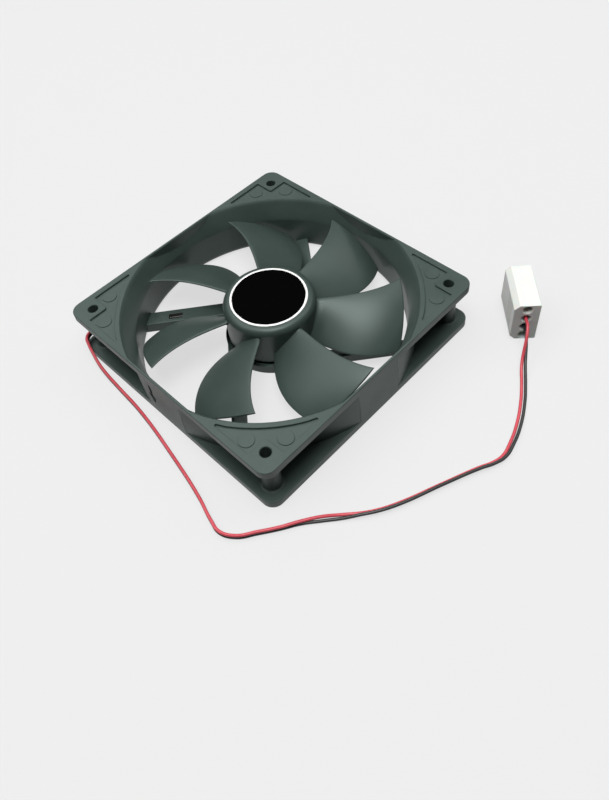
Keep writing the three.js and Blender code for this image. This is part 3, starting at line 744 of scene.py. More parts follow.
@dataclass
class Leads:
    """The free pair of wires and their two ends inside the frame.

    The route is a list of x, y, the lift of the lower wire off the floor, and the twist of the
    pair in degrees: 0 has red on the left, 90 has red on top. The stations are how far out from
    the motor's axis and how high the ends in the frame run, and entry is how they enter the plug.
    """

    plug: PlugPlace
    radius: float = 0.00065
    spacing: float = 0.00156
    floor_gap: float = 0.00008
    groove_heading: float = 230.0
    groove_offset: float = 0.015
    entry: tuple[float, float, float] = (-0.004, -0.001, 0.0027)
    route: tuple[tuple[float, float, float, float], ...] = (
        (-0.0510, -0.0374, 0.0033, 0),
        (-0.0534, -0.0403, 0.0045, 8),
        (-0.0560, -0.0445, 0.0052, 30),
        (-0.0577, -0.0490, 0.0054, 60),
        (-0.0589, -0.0530, 0.0054, 80),
        (-0.0592, -0.0562, 0.0051, 90),
        (-0.0579, -0.0586, 0.0047, 90),
        (-0.0548, -0.0600, 0.0043, 90),
        (-0.0504, -0.0613, 0.0032, 90),
        (-0.0452, -0.0625, 0.0013, 90),
        (-0.0383, -0.0634, 0.0003, 90),
        (-0.0305, -0.0640, 0.0, 90),
        (-0.0118, -0.0655, 0.0, 90),
        (0.0145, -0.0700, 0.0, 90),
        (0.0356, -0.0746, 0.0, 90),
        (0.0459, -0.0777, 0.0, 90),
        (0.0512, -0.0786, 0.0, 90),
        (0.0568, -0.0759, 0.0, 90),
        (0.0618, -0.0695, 0.0, 90),
        (0.0665, -0.0630, 0.0, 90),
        (0.0706, -0.0565, 0.0, 80),
        (0.0752, -0.0503, 0.0, 40),
        (0.0801, -0.0445, 0.0, -10),
        (0.0844, -0.0396, 0.0, -45),
        (0.0883, -0.0343, 0.0, -50),
        (0.0922, -0.0272, 0.0, -50),
        (0.0989, -0.0113, 0.0, -55),
        (0.1052, 0.0033, 0.0, -50),
        (0.1078, 0.0084, 0.0, -45),
        (0.1090, 0.0132, 0.0, -35),
        (0.1080, 0.0198, 0.0, -25),
        (0.1052, 0.0287, 0.0, -10),
        (0.1004, 0.0388, 0.0, 0),
        (0.0961, 0.0458, 0.0002, 5),
        (0.0916, 0.0522, 0.0018, 15),
    )
    stations: tuple[tuple[float, float], ...] = (
        (0.0075, 0.0036),
        (0.0105, 0.0034),
        (0.0140, 0.0025),
        (0.0180, 0.0023),
        (0.0300, 0.0028),
        (0.0460, 0.0028),
        (0.0540, 0.0023),
        (0.0575, 0.0024),
        (0.0608, 0.0038),
    )

    def free_points(self, lead: Lead) -> list[Vector]:
        """The points of one free wire, from the frame to the plug.

        Args:
            lead: Which wire.

        Returns:
            The points.
        """
        half = self.spacing / 2
        points = []
        for i, (x, y, lift, twist) in enumerate(self.route):
            before = self.route[max(i - 1, 0)]
            after = self.route[min(i + 1, len(self.route) - 1)]
            ahead = Vector((after[0] - before[0], after[1] - before[1])).normalized()
            turned = math.radians(twist)
            across = lead.value * half * math.cos(turned)
            middle = lift + self.radius + self.floor_gap + half * abs(math.sin(turned))
            height = middle + lead.value * half * math.sin(turned)
            points.append(Vector((x - ahead.y * across, y + ahead.x * across, height)))
        row = lead.value / 2
        return points + [self.plug.point(0.0, row, along) for along in self.entry]

    def inner_points(self, lead: Lead) -> list[Vector]:
        """The points of one wire's end inside the frame, from the board to the notch.

        Args:
            lead: Which wire.

        Returns:
            The points.
        """
        across = -self.groove_offset + lead.value * self.spacing / 2
        heading = turn(self.groove_heading)
        return [heading @ Vector((along, across, height)) for along, height in self.stations]

    def wire(self, name: str, points: Sequence[Vector]) -> Piece:
        """A round wire along one smooth curve.

        Args:
            name: The piece's name.
            points: The points that its middle passes through.

        Returns:
            The curve object.
        """
        curve = bpy.data.curves.new(name, "CURVE")
        curve.dimensions = "3D"
        curve.bevel_depth = self.radius
        curve.bevel_resolution = 5
        curve.resolution_u = 10
        curve.use_fill_caps = True
        spline = curve.splines.new("BEZIER")
        spline.bezier_points.add(len(points) - 1)
        for knot, point in zip(spline.bezier_points, points):
            knot.co = point
            knot.handle_left_type = "AUTO"
            knot.handle_right_type = "AUTO"
        piece = bpy.data.objects.new(name, curve)
        bpy.context.scene.collection.objects.link(piece)
        return piece

    @staticmethod
    def length(points: Sequence[Vector]) -> float:
        """The length of the line through the points."""
        return sum((b - a).length for a, b in zip(points, points[1:]))

    def build(self) -> dict[Lead, Piece]:
        """Makes and dresses the four wires.

        Returns:
            The two free wires.
        """
        free = {}
        for lead in Lead:
            colour = lead.colour
            slot = f"{colour}_wire"
            inner = self.wire(f"wire_end_{colour}", self.inner_points(lead))
            finished(inner, lead.finish, "frame", slot, f"inner_lead_{colour}")
            points = self.free_points(lead)
            outer = self.wire(f"wire_{colour}", points)
            finished(outer, lead.finish, "frame", slot, f"lead_{colour}")
            free[lead] = outer
        return free

    def declare(self, free: Mapping[Lead, Piece]) -> None:
        """Works out the length of each free wire's line; the result is not kept.

        Args:
            free: The two free wires.
        """
        for lead, piece in free.items():
            points = self.free_points(lead)
            round(self.length(points), 3)


# ---------------------------------------------------------------------- housing


@dataclass
class Housing:
    """The square moulding: two flanges, the duct between them, four struts and the motor base.

    Lengths are in millimetres and headings in degrees; over is how far a cutting tool runs past
    the face that it cuts.
    """

    side: float
    depth: float
    corner: float = 5.0
    flange: float = 3.8
    edge: float = 0.35
    facets: int = 192
    small_facets: int = 48
    over: float = 1.0
    throat: float = 57.5
    duct: float = 61.0
    intake: float = 62.0
    intake_flare: float = 9.5
    intake_bow: float = 1.3
    exhaust: float = 60.0
    exhaust_flare: float = 3.6
    flare_steps: int = 12
    side_wall: float = 1.1
    lip: float = 0.3
    screw_pitch: float = 105.0
    screw_hole: float = 2.15
    screw_lip: float = 0.25
    boss: float = 3.8
    boss_foot: float = 0.9
    boss_step: float = 0.5
    pocket_depth: float = 0.9
    pocket_rim: float = 2.8
    pocket_bevel: float = 0.14
    pocket_tip: float = 0.7
    arch_gap: float = 2.2
    land: float = 11.7
    land_round: float = 1.0
    pad: float = 3.15
    pad_height: float = 0.35
    pad_edge: float = 0.12
    pad_root: float = 0.4
    pad_places: tuple[tuple[float, float], ...] = ((53.4, 43.4), (43.4, 53.4))
    strut_heading: float = 50.0
    strut_offset: float = 17.6
    strut_width: float = 6.0
    strut_ridge: float = 4.6
    strut_flat: float = 1.2
    strut_low: float = 2.6
    strut_round: float = 0.4
    crest_round: float = 0.5
    strut_sink: float = 0.1
    channel_offset: float = 15.0
    channel_width: float = 7.2
    channel_height: float = 5.0
    channel_skin: float = 1.4
    channel_round: float = 0.3
    groove_width: float = 4.6
    groove_start: float = 8.0
    groove_end: float = 68.0
    riser_reach: float = 3.0
    window: tuple[float, float] = (40.2, 46.4)
    window_half: float = 1.4
    window_aside: float = 0.4
    notch_reach: float = 2.5
    notch: tuple[float, float] = (0.8, 5.8)
    base: float = 21.2
    base_wall: float = 1.6
    base_height: float = 4.6
    floor_low: float = 0.5
    floor_top: float = 2.4
    socket_bore: float = 4.7
    socket_wall: float = 1.6
    socket_top: float = 6.0
    arrow_long: float = 12.0
    arrow_wide: float = 5.0
    arrow_deep: float = 0.4
    arrow_along: float = -7.0

    @property
    def corners(self) -> list[tuple[int, int]]:
        """The signs of x and y at the four corners."""
        return [(1, 1), (-1, 1), (-1, -1), (1, -1)]

    def flange_plate(self, low: float) -> Shape:
        """One flange: a square plate with round corners and softened rims.

        Args:
            low: Height of its lower face.

        Returns:
            The plate.
        """
        half = self.side / 2
        corners = [(sx * half, sy * half, self.corner) for sx, sy in self.corners]
        return prism(filleted(corners, steps=12), low, low + self.flange, self.edge)

    def sleeve(self) -> Shape:
        """The outside of the duct between the flanges."""
        low, top = self.flange / 2, self.depth - self.flange / 2
        return lathe([(0, low), (self.duct, low), (self.duct, top), (0, top)], self.facets)

    def at_screw(self, profile: Outline, sx: int, sy: int) -> Shape:
        """A turned shape on the axis of one screw hole."""
        half = self.screw_pitch / 2
        return moved(lathe(profile, self.small_facets), shift(sx * half, sy * half))

    def boss_post(self, sx: int, sy: int) -> Shape:
        """The tube round a screw hole between the flanges, with a flared foot and head.

        Args:
            sx: The sign of the corner's x.
            sy: The sign of the corner's y.

        Returns:
            The post.
        """
        step, foot, wide = self.boss_step, self.boss_foot, self.boss + self.boss_foot
        low, top = self.flange - step, self.depth - self.flange + step
        profile = [(0, low), (wide, low)]
        profile += arc(foot, 270, 180, 5, (wide, low + step + foot))
        profile += arc(foot, 180, 90, 5, (wide, top - step - foot))
        return self.at_screw(profile + [(wide, top), (0, top)], sx, sy)

    def airway(self) -> Shape:
        """The flared bore, with a small lip round at each face.

        Returns:
            The bore, as a solid to cut with.
        """
        steps, lip, top, over = self.flare_steps, self.lip, self.depth, self.over
        exhaust, intake = self.exhaust - self.throat, self.intake - self.throat
        profile = [(0, -over), (self.exhaust + lip, -over), (self.exhaust + lip, 0)]
        for k in range(steps + 1):
            a = math.radians(90 * k / steps)
            rise = self.exhaust_flare * (1 - math.cos(a))
            profile.append((self.throat + exhaust * (1 - math.sin(a)), max(rise, lip * (k == 0))))
        for k in range(steps + 1):
            t = k / steps
            fall = self.intake_flare * (1 - t)
            reach = self.throat + intake * t**self.intake_bow
            profile.append((reach, top - max(fall, lip * (k == steps))))
        profile += [(self.intake + lip, top), (self.intake + lip, top + over), (0, top + over)]
        return lathe(profile, self.facets)

    def side_limit(self, quarter: int) -> Shape:
        """The slab between two sides that the airway stays inside, opened by a lip at both faces.

        Args:
            quarter: How many quarter turns it stands from the first.

        Returns:
            The slab.
        """
        half, lip, top, over = self.side / 2 - self.side_wall, self.lip, self.depth, 2 * self.over
        wide = half + lip
        right = [(wide, -over), (wide, 0), (half, lip), (half, top - lip), (wide, top)]
        right.append((wide, top + over))
        section = right + [(-x, y) for x, y in reversed(right)]
        return moved(prism(section, -self.side, self.side), turn(90 * quarter) @ ALONG_X)

    def pocket(self, quarter: int) -> Shape:
        """The sunk field of one corner, with a chamfered rim, between the duct and the screw.

        Args:
            quarter: How many quarter turns it stands from the first.

        Returns:
            The field, as a solid to cut with.
        """
        bevel = self.pocket_bevel
        edge, land = self.side / 2 - self.pocket_rim, self.side / 2 - self.land
        arch = self.intake + self.arch_gap
        tip = math.sqrt(arch**2 - edge**2)
        bearing = math.degrees(math.atan2(tip, edge))
        arch_points = arc(arch - bevel, bearing, 90 - bearing, 24)[3:-3]
        corners = [
            (tip, edge + bevel, self.pocket_tip),
            (land + bevel, edge + bevel, self.land_round / 2),
            (land + bevel, land + bevel, self.land_round),
            (edge + bevel, land + bevel, self.land_round / 2),
            (edge + bevel, tip, self.pocket_tip),
        ]
        bm = prism(filleted(corners, steps=5) + arch_points, self.depth, self.depth + self.over)
        lower = min(bm.faces, key=lambda f: f.calc_center_median().z)
        for thin, deep, even in ((bevel, bevel, True), (0.0, self.pocket_depth - bevel, False)):
            bmesh.ops.inset_region(
                bm, faces=[lower], thickness=thin, depth=deep, use_even_offset=even
            )
        bmesh.ops.recalc_face_normals(bm, faces=bm.faces[:])
        return moved(bm, turn(90 * quarter))

    def pad_disc(self, quarter: int, x: float, y: float) -> Shape:
        """A low round pad on a pocket's floor, where an ejector pin pushed.

        Args:
            quarter: How many quarter turns it stands from the first.
            x: Its place in the first corner.
            y: Its place in the first corner.

        Returns:
            The pad.
        """
        floor, soft = self.depth - self.pocket_depth, self.pad_edge
        top, root = floor + self.pad_height, floor - self.pad_root
        profile = [(0, root), (self.pad, root)]
        profile += arc(soft, 0, 90, 3, (self.pad - soft, top - soft)) + [(0, top)]
        return moved(lathe(profile, self.small_facets), turn(90 * quarter) @ shift(x, y))

    def screw_tool(self, sx: int, sy: int) -> Shape:
        """The screw hole, with a countersunk lip at both faces.

        Args:
            sx: The sign of the corner's x.
            sy: The sign of the corner's y.

        Returns:
            The hole, as a solid to cut with.
        """
        r, lip, top, over = self.screw_hole, self.screw_lip, self.depth, self.over
        profile = [(0, -over), (r + lip, -over), (r + lip, 0), (r, lip), (r, top - lip)]
        profile += [(r + lip, top), (r + lip, top + over), (0, top + over)]
        return self.at_screw(profile, sx, sy)

    def strut(self, heading: float) -> Shape:
        """One plain strut: a slanted vane with a ridge along one side.

        Args:
            heading: The way that it points.

        Returns:
            The strut, from the middle to the duct.
        """
        soft, half = self.strut_round, self.strut_width / 2
        ridge_side, low_side = -self.strut_offset - half, -self.strut_offset + half
        corners = [
            (ridge_side, 0, soft),
            (low_side, 0, soft),
            (low_side, self.strut_low, self.crest_round),
            (ridge_side + self.strut_flat, self.strut_ridge, soft),
            (ridge_side, self.strut_ridge, soft),
        ]
        return moved(prism(filleted(corners), 0, self.duct), turn(heading) @ ALONG_X)

    def channel(self, heading: float) -> Shape:
        """The broad strut that carries the wires.

        Args:
            heading: The way that it points.

        Returns:
            The strut, from the middle to the duct.
        """
        half, top = self.channel_width / 2, self.channel_height
        near, far = -self.channel_offset - half, -self.channel_offset + half
        corners = [(near, 0, self.channel_round), (far, 0, self.channel_round)]
        corners += [(far, top, self.crest_round), (near, top, self.crest_round)]
        return moved(prism(filleted(corners), 0, self.duct), turn(heading) @ ALONG_X)

    def column(self, radius: float, facets: int) -> Shape:
        """A round column through the whole depth."""
        low, top = -self.over, self.depth
        return lathe([(0, low), (radius, low), (radius, top), (0, top)], facets)

    def spokes(self) -> Piece:
        """All struts, cut to the duct's wall outside and to the motor base inside.

        Returns:
            The struts as one piece.
        """
        piece = piece_of(self.channel(self.strut_heading + 180), "spokes")
        plain = [self.strut(self.strut_heading + further) for further in (0, 90, 270)]
        carve(piece, Cut.JOIN, *plain)
        outside = (self.duct + self.exhaust) / 2 + self.strut_sink
        inside = self.base - self.base_wall / 2
        carve(piece, Cut.KEEP, self.column(outside, self.facets))
        return carve(piece, Cut.REMOVE, self.column(inside, 128))

    def motor_base(self) -> Shape:
        """The shallow cup under the rotor, with a socket for the bearing tube.

        Returns:
            The cup.
        """
        wall_in = self.base - self.base_wall
        socket_out = self.socket_bore + self.socket_wall
        corners = [
            (self.socket_bore, self.floor_low, 0.15),
            (wall_in, self.floor_low, 0.0),
            (wall_in, 0.0, 0.2),
            (self.base, 0.0, 0.3),
            (self.base, self.base_height, 0.4),
            (wall_in, self.base_height, 0.3),
            (wall_in, self.floor_top, 0.3),
            (socket_out, self.floor_top, 0.4),
            (socket_out, self.socket_top, 0.3),
            (self.socket_bore, self.socket_top, 0.3),
        ]
        return lathe(filleted(corners, steps=3), 144)

    def bar(
        self, ends: tuple[float, float], low: float, top: float, wide: float, aside: float = 0.0
    ) -> Shape:
        """A bar along the wires' strut that cuts from one height to another.

        Args:
            ends: How far out it starts and ends.
            low: Its lower face.
            top: Its upper face.
            wide: Half its width.
            aside: How far its middle lies beside the groove's.

        Returns:
            The bar.
        """
        (start, end), middle, soft = ends, aside - self.channel_offset, min(wide, top - low) / 5
        corners = [(start, -1), (end, -1), (end, 1), (start, 1)]
        outline = filleted([(along, middle + across * wide, soft) for along, across in corners])
        return moved(prism(outline, low, top), turn(self.strut_heading + 180))

    def groove_tools(self) -> list[Shape]:
        """What makes room for the wires: channel, riser, window and notch.

        Returns:
            The solids to cut with.
        """
        half, low, roof = self.groove_width / 2, -self.over, self.channel_height - self.channel_skin
        start, end, reach = self.groove_start, self.groove_end, self.riser_reach
        wall = math.sqrt(self.duct**2 - (self.channel_offset - half) ** 2)
        above = self.channel_height + self.over
        return [
            self.bar((start, end), low, roof, half),
            self.bar((start - reach, self.base - reach), low, self.base_height, half),
            self.bar(self.window, self.over, above, self.window_half, self.window_aside),
            self.bar((wall - self.notch_reach, end), *self.notch, half),
        ]

    def arrow(self) -> Shape:
        """A plain airflow arrow, sunk into the flat side of the duct.

        Returns:
            The arrow, as a solid to cut with.
        """
        tip, barb, neck = self.arrow_long / 2, self.arrow_wide / 2, self.arrow_wide / 5
        half = [(0, -tip), (barb, 0), (neck, 0), (neck, tip)]
        outline = [(-x, y) for x, y in reversed(half[1:])] + half
        height = self.depth / 2
        place = shift(self.arrow_along, self.arrow_deep - self.side / 2, height) @ turn(90, "X")
        return moved(prism(outline, 0, self.arrow_deep + self.over), place)

    def build(self) -> Piece:
        """Makes and dresses the whole moulding.

        Returns:
            The housing piece.
        """
        half = self.side / 2
        square = [(sx * half, sy * half) for sx, sy in self.corners]
        piece = piece_of(self.sleeve(), "housing_moulding")
        carve(piece, Cut.KEEP, prism(square, 0, self.depth))
        plates = [self.flange_plate(0), self.flange_plate(self.depth - self.flange)]
        posts = [self.boss_post(sx, sy) for sx, sy in self.corners]
        carve(piece, Cut.JOIN, *plates, *posts)
        air = piece_of(self.airway(), "air")
        carve(air, Cut.KEEP, self.side_limit(0), self.side_limit(1))
        carve(piece, Cut.REMOVE, self.loose(air))
        carve(piece, Cut.REMOVE, *[self.pocket(quarter) for quarter in range(4)])
        pads = [self.pad_disc(q, x, y) for q in range(4) for x, y in self.pad_places]
        carve(piece, Cut.JOIN, *pads)
        carve(piece, Cut.JOIN, self.loose(self.spokes()), self.motor_base())
        carve(piece, Cut.REMOVE, *[self.screw_tool(sx, sy) for sx, sy in self.corners])
        carve(piece, Cut.REMOVE, *self.groove_tools(), self.arrow())
        return finished(piece, HOUSING_PBT, "frame", "housing_plastic", "frame_housing")

    @staticmethod
    def loose(piece: Piece) -> Shape:
        """Takes a piece's shape out of the scene so that it can be used as a tool.

        Args:
            piece: The piece, which is removed.

        Returns:
            The shape.
        """
        bm = bmesh.new()
        bm.from_mesh(piece.data)
        bpy.data.objects.remove(piece)
        return bm


# ---------------------------------------------------------------------- impeller


def bent(values: Sequence[float], t: float) -> float:
    """A value bent from start to end by a middle one."""
    start, middle, end = values
    return (1 - t) ** 2 * start + 2 * t * (1 - t) * middle + t**2 * end


@dataclass
class Impeller:
    """The hub shell and its seven twisted blades."""

    top: float
    skirt_low: float
    hub: float = 19.7
    wall: float = 1.35
    edge: float = 3.0
    roof: float = 3.2
    boss: float = 3.7
    boss_low: float = 18.2
    bore: float = 1.55
    bore_top: float = 23.3
    count: int = 7
    first_tip: float = 53.3
    tip: float = 55.8
    root: float = 18.9
    lead_angle: tuple[float, float, float] = (-5.5, -8.2, 0.0)
    lead_height: tuple[float, float, float] = (20.5, 21.1, 21.6)
    trail_angle: tuple[float, float, float] = (-44.8, -46.5, -28.3)
    trail_height: tuple[float, float, float] = (9.2, 9.6, 6.9)
    camber: float = 0.36
    root_thickness: float = 1.7
    tip_thickness: float = 1.1
    edge_share: float = 0.45
    blunt_share: float = 0.25
    chord_share: float = 0.62
    chord_angle: float = 40.0
    fillet: float = 1.3
    fillet_swell: float = 1.4
    probe: float = 0.004
    grid: tuple[int, int] = (40, 30)

    def hub_shell(self) -> Shape:
        """The cup over the motor, with a broad round at its upper edge.

        Returns:
            The cup.
        """
        inner, ceiling = self.hub - self.wall, self.top - self.roof
        corners = [
            (self.bore, self.bore_top, 0.0),
            (self.bore, self.boss_low, 0.15),
            (self.boss, self.boss_low, 0.3),
            (self.boss, ceiling, 0.5),
            (inner, ceiling, 0.5),
            (inner, self.skirt_low, 0.25),
            (self.hub, self.skirt_low, 0.3),
        ]
        crown = (self.hub - self.edge, self.top - self.edge)
        rounded = filleted([(0, self.bore_top, 0.0), *corners, (self.hub, self.top, 0.0)])
        profile = rounded[:-1] + arc(self.edge, 0, 90, 12, crown) + [(0, self.top)]
        return lathe(profile, 144)

    def surface(self, u: float, v: float) -> Vector:
        """A point of a blade's middle surface.

        Args:
            u: 0 at the leading edge, 1 at the trailing edge.
            v: 0 at the root, 1 at the tip.

        Returns:
            The point, in millimetres.
        """
        r = self.root + (self.tip - self.root) * v
        s = min(max((r - self.hub) / (self.tip - self.hub), 0.0), 1.0)
        lead, trail = bent(self.lead_angle, s), bent(self.trail_angle, s)
        fall = u - self.camber * u * (1 - u)
        high, low = bent(self.lead_height, s), bent(self.trail_height, s)
        a = math.radians(self.first_tip + lead + (trail - lead) * u)
        return Vector((r * math.cos(a), r * math.sin(a), high + (low - high) * fall))

    def thickness(self, u: float, v: float) -> float:
        """How thick the blade is: full before its middle, rounded off at its edges.

        Args:
            u: 0 at the leading edge, 1 at the trailing edge.
            v: 0 at the root, 1 at the tip.

        Returns:
            The thickness, in millimetres.
        """
        r = self.root + (self.tip - self.root) * v
        full = 1 - self.edge_share
        taper = self.edge_share + full * math.sin(math.pi * math.sqrt(max(u, 0.0)))
        whole = (self.root_thickness + (self.tip_thickness - self.root_thickness) * v) * taper
        chord = self.chord_share * r * math.radians(self.chord_angle)
        nose = min(min(u, 1 - u) * chord, (1 - v) * (self.tip - self.root))
        blunt = min(nose / (whole / 2), 1.0)
        round_ = math.sqrt(max(1 - (1 - blunt) ** 2, 0.0))
        whole *= self.blunt_share + (1 - self.blunt_share) * round_
        reach = min(max(1 - (r - self.hub) / self.fillet, 0.0), 1.0)
        return whole + self.fillet_swell * self.fillet * (1 - math.sqrt(1 - reach**2)) * blunt

    def blade(self, number: int) -> Shape:
        """One blade: a fine slab, one unit long and wide and two thick, bent over the middle surface.

        Args:
            number: Which blade, counted from the first.

        Returns:
            The blade as a closed shape.
        """
        bm = bmesh.new()
        bmesh.ops.create_grid(bm, x_segments=self.grid[0], y_segments=self.grid[1], size=0.5)
        bmesh.ops.translate(bm, verts=bm.verts[:], vec=(0.5, 0.5, -1.0))
        raised = bmesh.ops.extrude_face_region(bm, geom=bm.faces[:])
        upper = [g for g in raised["geom"] if isinstance(g, bmesh.types.BMVert)]
        bmesh.ops.translate(bm, verts=upper, vec=(0, 0, 2))
        step = self.probe
        for vert in bm.verts:
            # the grid's lines are drawn together at the edges, where the section is round
            u = 0.5 - 0.5 * math.cos(math.pi * min(max(vert.co.x, 0.0), 1.0))
            v = math.sin(math.pi / 2 * min(max(vert.co.y, 0.0), 1.0))
            chord = self.surface(u + step, v) - self.surface(u - step, v)
            span = self.surface(u, v + step) - self.surface(u, v - step)
            normal = span.cross(chord).normalized()
            vert.co = self.surface(u, v) + normal * (vert.co.z * self.thickness(u, v) / 2)
        bmesh.ops.recalc_face_normals(bm, faces=bm.faces[:])
        return moved(bm, turn(360 / self.count * number))

    def build(self) -> Piece:
        """Makes and dresses the impeller.

        Returns:
            The impeller piece.
        """
        piece = piece_of(self.hub_shell(), "impeller_moulding")
        carve(piece, Cut.JOIN, *[self.blade(k) for k in range(self.count)])
        return finished(piece, IMPELLER_PBT, "rotor", "impeller_plastic", "impeller")


# ---------------------------------------------------------------------- stickers


@dataclass
class Stickers:
    """The round sticker on the hub and the label that closes the motor base."""

    edge: float = 0.06

    def disc(self, name: str, node: str) -> Piece:
        """A thin disc with a softened rim, where the CAD has it.

        Args:
            name: The piece's name.
            node: The CAD node that it stands for.

        Returns:
            The disc.
        """
        low, high = (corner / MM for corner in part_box(node))
        r = (high.x - low.x) / 2
        soft = self.edge
        profile = [(0, low.z), (r, low.z)]
        profile += arc(soft, 0, 90, 3, (r - soft, high.z - soft)) + [(0, high.z)]
        return piece_of(lathe(profile, 160), name)

    def build(self) -> None:
        """Makes and dresses both discs."""
        top = self.disc("hub_sticker", "hub_label")
        finished(top, HUB_PAPER, "rotor", "hub_sticker", "hub_label")
        under = self.disc("motor_label", "base_label")
        finished(under, SILVER_FILM, "frame", "silver_label", "base_label")


# ---------------------------------------------------------------------- plug


@dataclass
class Plug:
    """The four-way nylon plug, standing on its narrow side, and its two crimped contacts.

    Lengths are in millimetres. A contact's outline is a list of the distance from the face where
    the wires go in and the radius there.
    """

    place: PlugPlace
    width: float = 10.7
    length: float = 23.0
    chamfer: float = 2.2
    soft: float = 0.35
    back_round: float = 0.5
    front_round: float = 0.4
    ways: int = 4
    cavity: float = 1.85
    entry_flare: float = 0.35
    mate_flare: float = 0.3
    flare_low: float = 0.1
    flare_high: float = 0.5
    facets: int = 48
    ribs: int = 5
    rib_start: float = 4.2
    rib_pitch: float = 1.5
    rib_margin: float = 3.5
    rib_wide: float = 0.28
    rib_narrow: float = 0.12
    rib_half: float = 0.3
    rib_proud: float = 0.02
    contact_outline: tuple[tuple[float, float], ...] = (
        (3.3, 0.0),
        (3.3, 1.05),
        (3.6, 1.15),
        (6.3, 1.15),
        (6.7, 0.95),
        (7.5, 1.3),
        (12.3, 1.3),
        (12.8, 1.05),
        (17.4, 1.05),
        (18.3, 0.5),
        (18.3, 0.0),
    )

    def matrix(self) -> Matrix:
        """Takes a shape made along X from the origin to the plug's place, in millimetres."""
        x, y = (value / MM for value in self.place.place)
        return shift(x, y) @ turn(self.place.heading)

    def cavity_tool(self, height: float) -> Shape:
        """The round hole for one contact, flared at both ends.

        Args:
            height: The height of the contact's axis.

        Returns:
            The hole, as a solid to cut with.
        """
        r, over, end = self.cavity, 1, self.length
        entry, mate = r + self.entry_flare, r + self.mate_flare
        low, high = self.flare_low, self.flare_high
        profile = [(0, -over), (entry, -over), (entry, low), (r, high)]
        profile += [(r, end - high), (mate, end - low), (mate, end + over), (0, end + over)]
        return moved(lathe(profile, self.facets), shift(z=height) @ turn(90, "Y"))

    def rib_tool(self, number: int, side: int) -> Shape:
        """One groove between the finger ribs, on one of the two flanks.

        Args:
            number: Which groove, counted from the back.
            side: 1 or -1 for the two flanks.

        Returns:
            The groove, as a solid to cut with.
        """
        wide, narrow, half = self.rib_wide, self.rib_narrow, self.rib_half
        rib = [(-wide, -half), (wide, -half), (narrow, half), (-narrow, half)]
        grip = prism(rib, self.rib_margin, self.place.height / MM - self.rib_margin)
        along = self.rib_start + self.rib_pitch * number
        place = shift(along, side * (self.width / 2 + self.rib_proud))
        return moved(grip, place @ turn(180 if side > 0 else 360))

    def shell(self) -> Piece:
        """The housing: two chamfered corners, four cavities and finger ribs.

        Returns:
            The shell, lying along X.
        """
        half, tall, c = self.width / 2, self.place.height / MM, self.chamfer
        back, front = self.back_round, self.front_round
        corners = [(-half, 0, back), (half - c, 0, front), (half, c, front)]
        corners += [(half, tall - c, front), (half - c, tall, front), (-half, tall, back)]
        outline = filleted(corners, steps=3)
        piece = piece_of(moved(prism(outline, 0, self.length, self.soft), ALONG_X), "plug_shell")
        rows = [i - (self.ways - 1) / 2 for i in range(self.ways)]
        heights = [tall / 2 + row * (self.place.pitch / MM) for row in rows]
        carve(piece, Cut.REMOVE, *[self.cavity_tool(height) for height in heights])
        ribs = [self.rib_tool(k, side) for k in range(self.ribs) for side in (1, -1)]
        return carve(piece, Cut.REMOVE, *ribs)

    def contact(self, lead: Lead) -> Piece:
        """A crimped contact: a barrel on the wire and a round pin ahead of it.

        Args:
            lead: The wire that it is crimped on.

        Returns:
            The contact, in its place in the plug.
        """
        height = (self.place.height + lead.value * self.place.pitch) / 2 / MM
        profile = [(r, along) for along, r in self.contact_outline]
        piece = piece_of(lathe(profile, 40), f"crimp_contact_{lead.colour}")
        piece.data.transform(self.matrix() @ shift(z=height) @ turn(90, "Y"))
        return piece

    def build(self) -> dict[Lead, list[Piece]]:
        """Makes and dresses the plug.

        Returns:
            The pieces on the end of each wire; the shell is counted with the red one.
        """
        shell = self.shell()
        shell.data.transform(self.matrix())
        finished(shell, NATURAL_NYLON, "frame", "connector_nylon", "connector_housing", smooth=28)
        ends: dict[Lead, list[Piece]] = {Lead.RED: [shell], Lead.BLACK: []}
        for lead in Lead:
            contact = self.contact(lead)
            finished(contact, BRIGHT_TIN, "frame", "tinned_contact", f"contact_{lead.colour}")
            ends[lead].append(contact)
        return ends


# ---------------------------------------------------------------------- motor


# The finish of each hidden part of the motor, which keeps its CAD shape.
MOTOR_FINISHES = {
    "bearing_tube": TURNED_BRASS,
    "sleeve_bearing": SINTERED_BRONZE,
    "oil_ring": NITRILE,
    "thrust_washer": NATURAL_NYLON,
    "stator_core": LAMINATION_STEEL,
    "insulator_top": NATURAL_NYLON,
    "insulator_bottom": NATURAL_NYLON,
    "circuit_board": SOLDER_MASK,
    "hall_sensor": MOULDED_EPOXY,
    "driver_chip": MOULDED_EPOXY,
    "capacitor": FIRED_CERAMIC,
    "reverse_diode": MOULDED_EPOXY,
    "rotor_yoke": ZINCED_STEEL,
    "ring_magnet": BONDED_FERRITE,
    "shaft": GROUND_STEEL,
    "retaining_clip": NATURAL_NYLON,
}


@dataclass
class Motor:
    """The hidden parts of the motor, which get the finishes of the real ones."""

    nodes: Mapping[str, Piece]
    coils: int = 4
    pins: int = 3

    def build(self) -> None:
        """Dresses every part of the motor."""
        finishes = dict(MOTOR_FINISHES)
        finishes.update({f"coil_{k + 1}": ENAMELLED_COPPER for k in range(self.coils)})
        finishes.update({f"terminal_pin_{k + 1}": BRIGHT_TIN for k in range(self.pins)})
        made: dict[str, bpy.types.Material] = {}
        for node, finish in finishes.items():
            if finish.name not in made:
                made[finish.name] = finish.material()
            mesh = self.nodes[node].data
            mesh.materials.clear()
            mesh.materials.append(made[finish.name])
            LOG.info("%s is dressed in %s", node, finish.name)


# ---------------------------------------------------------------------- studio


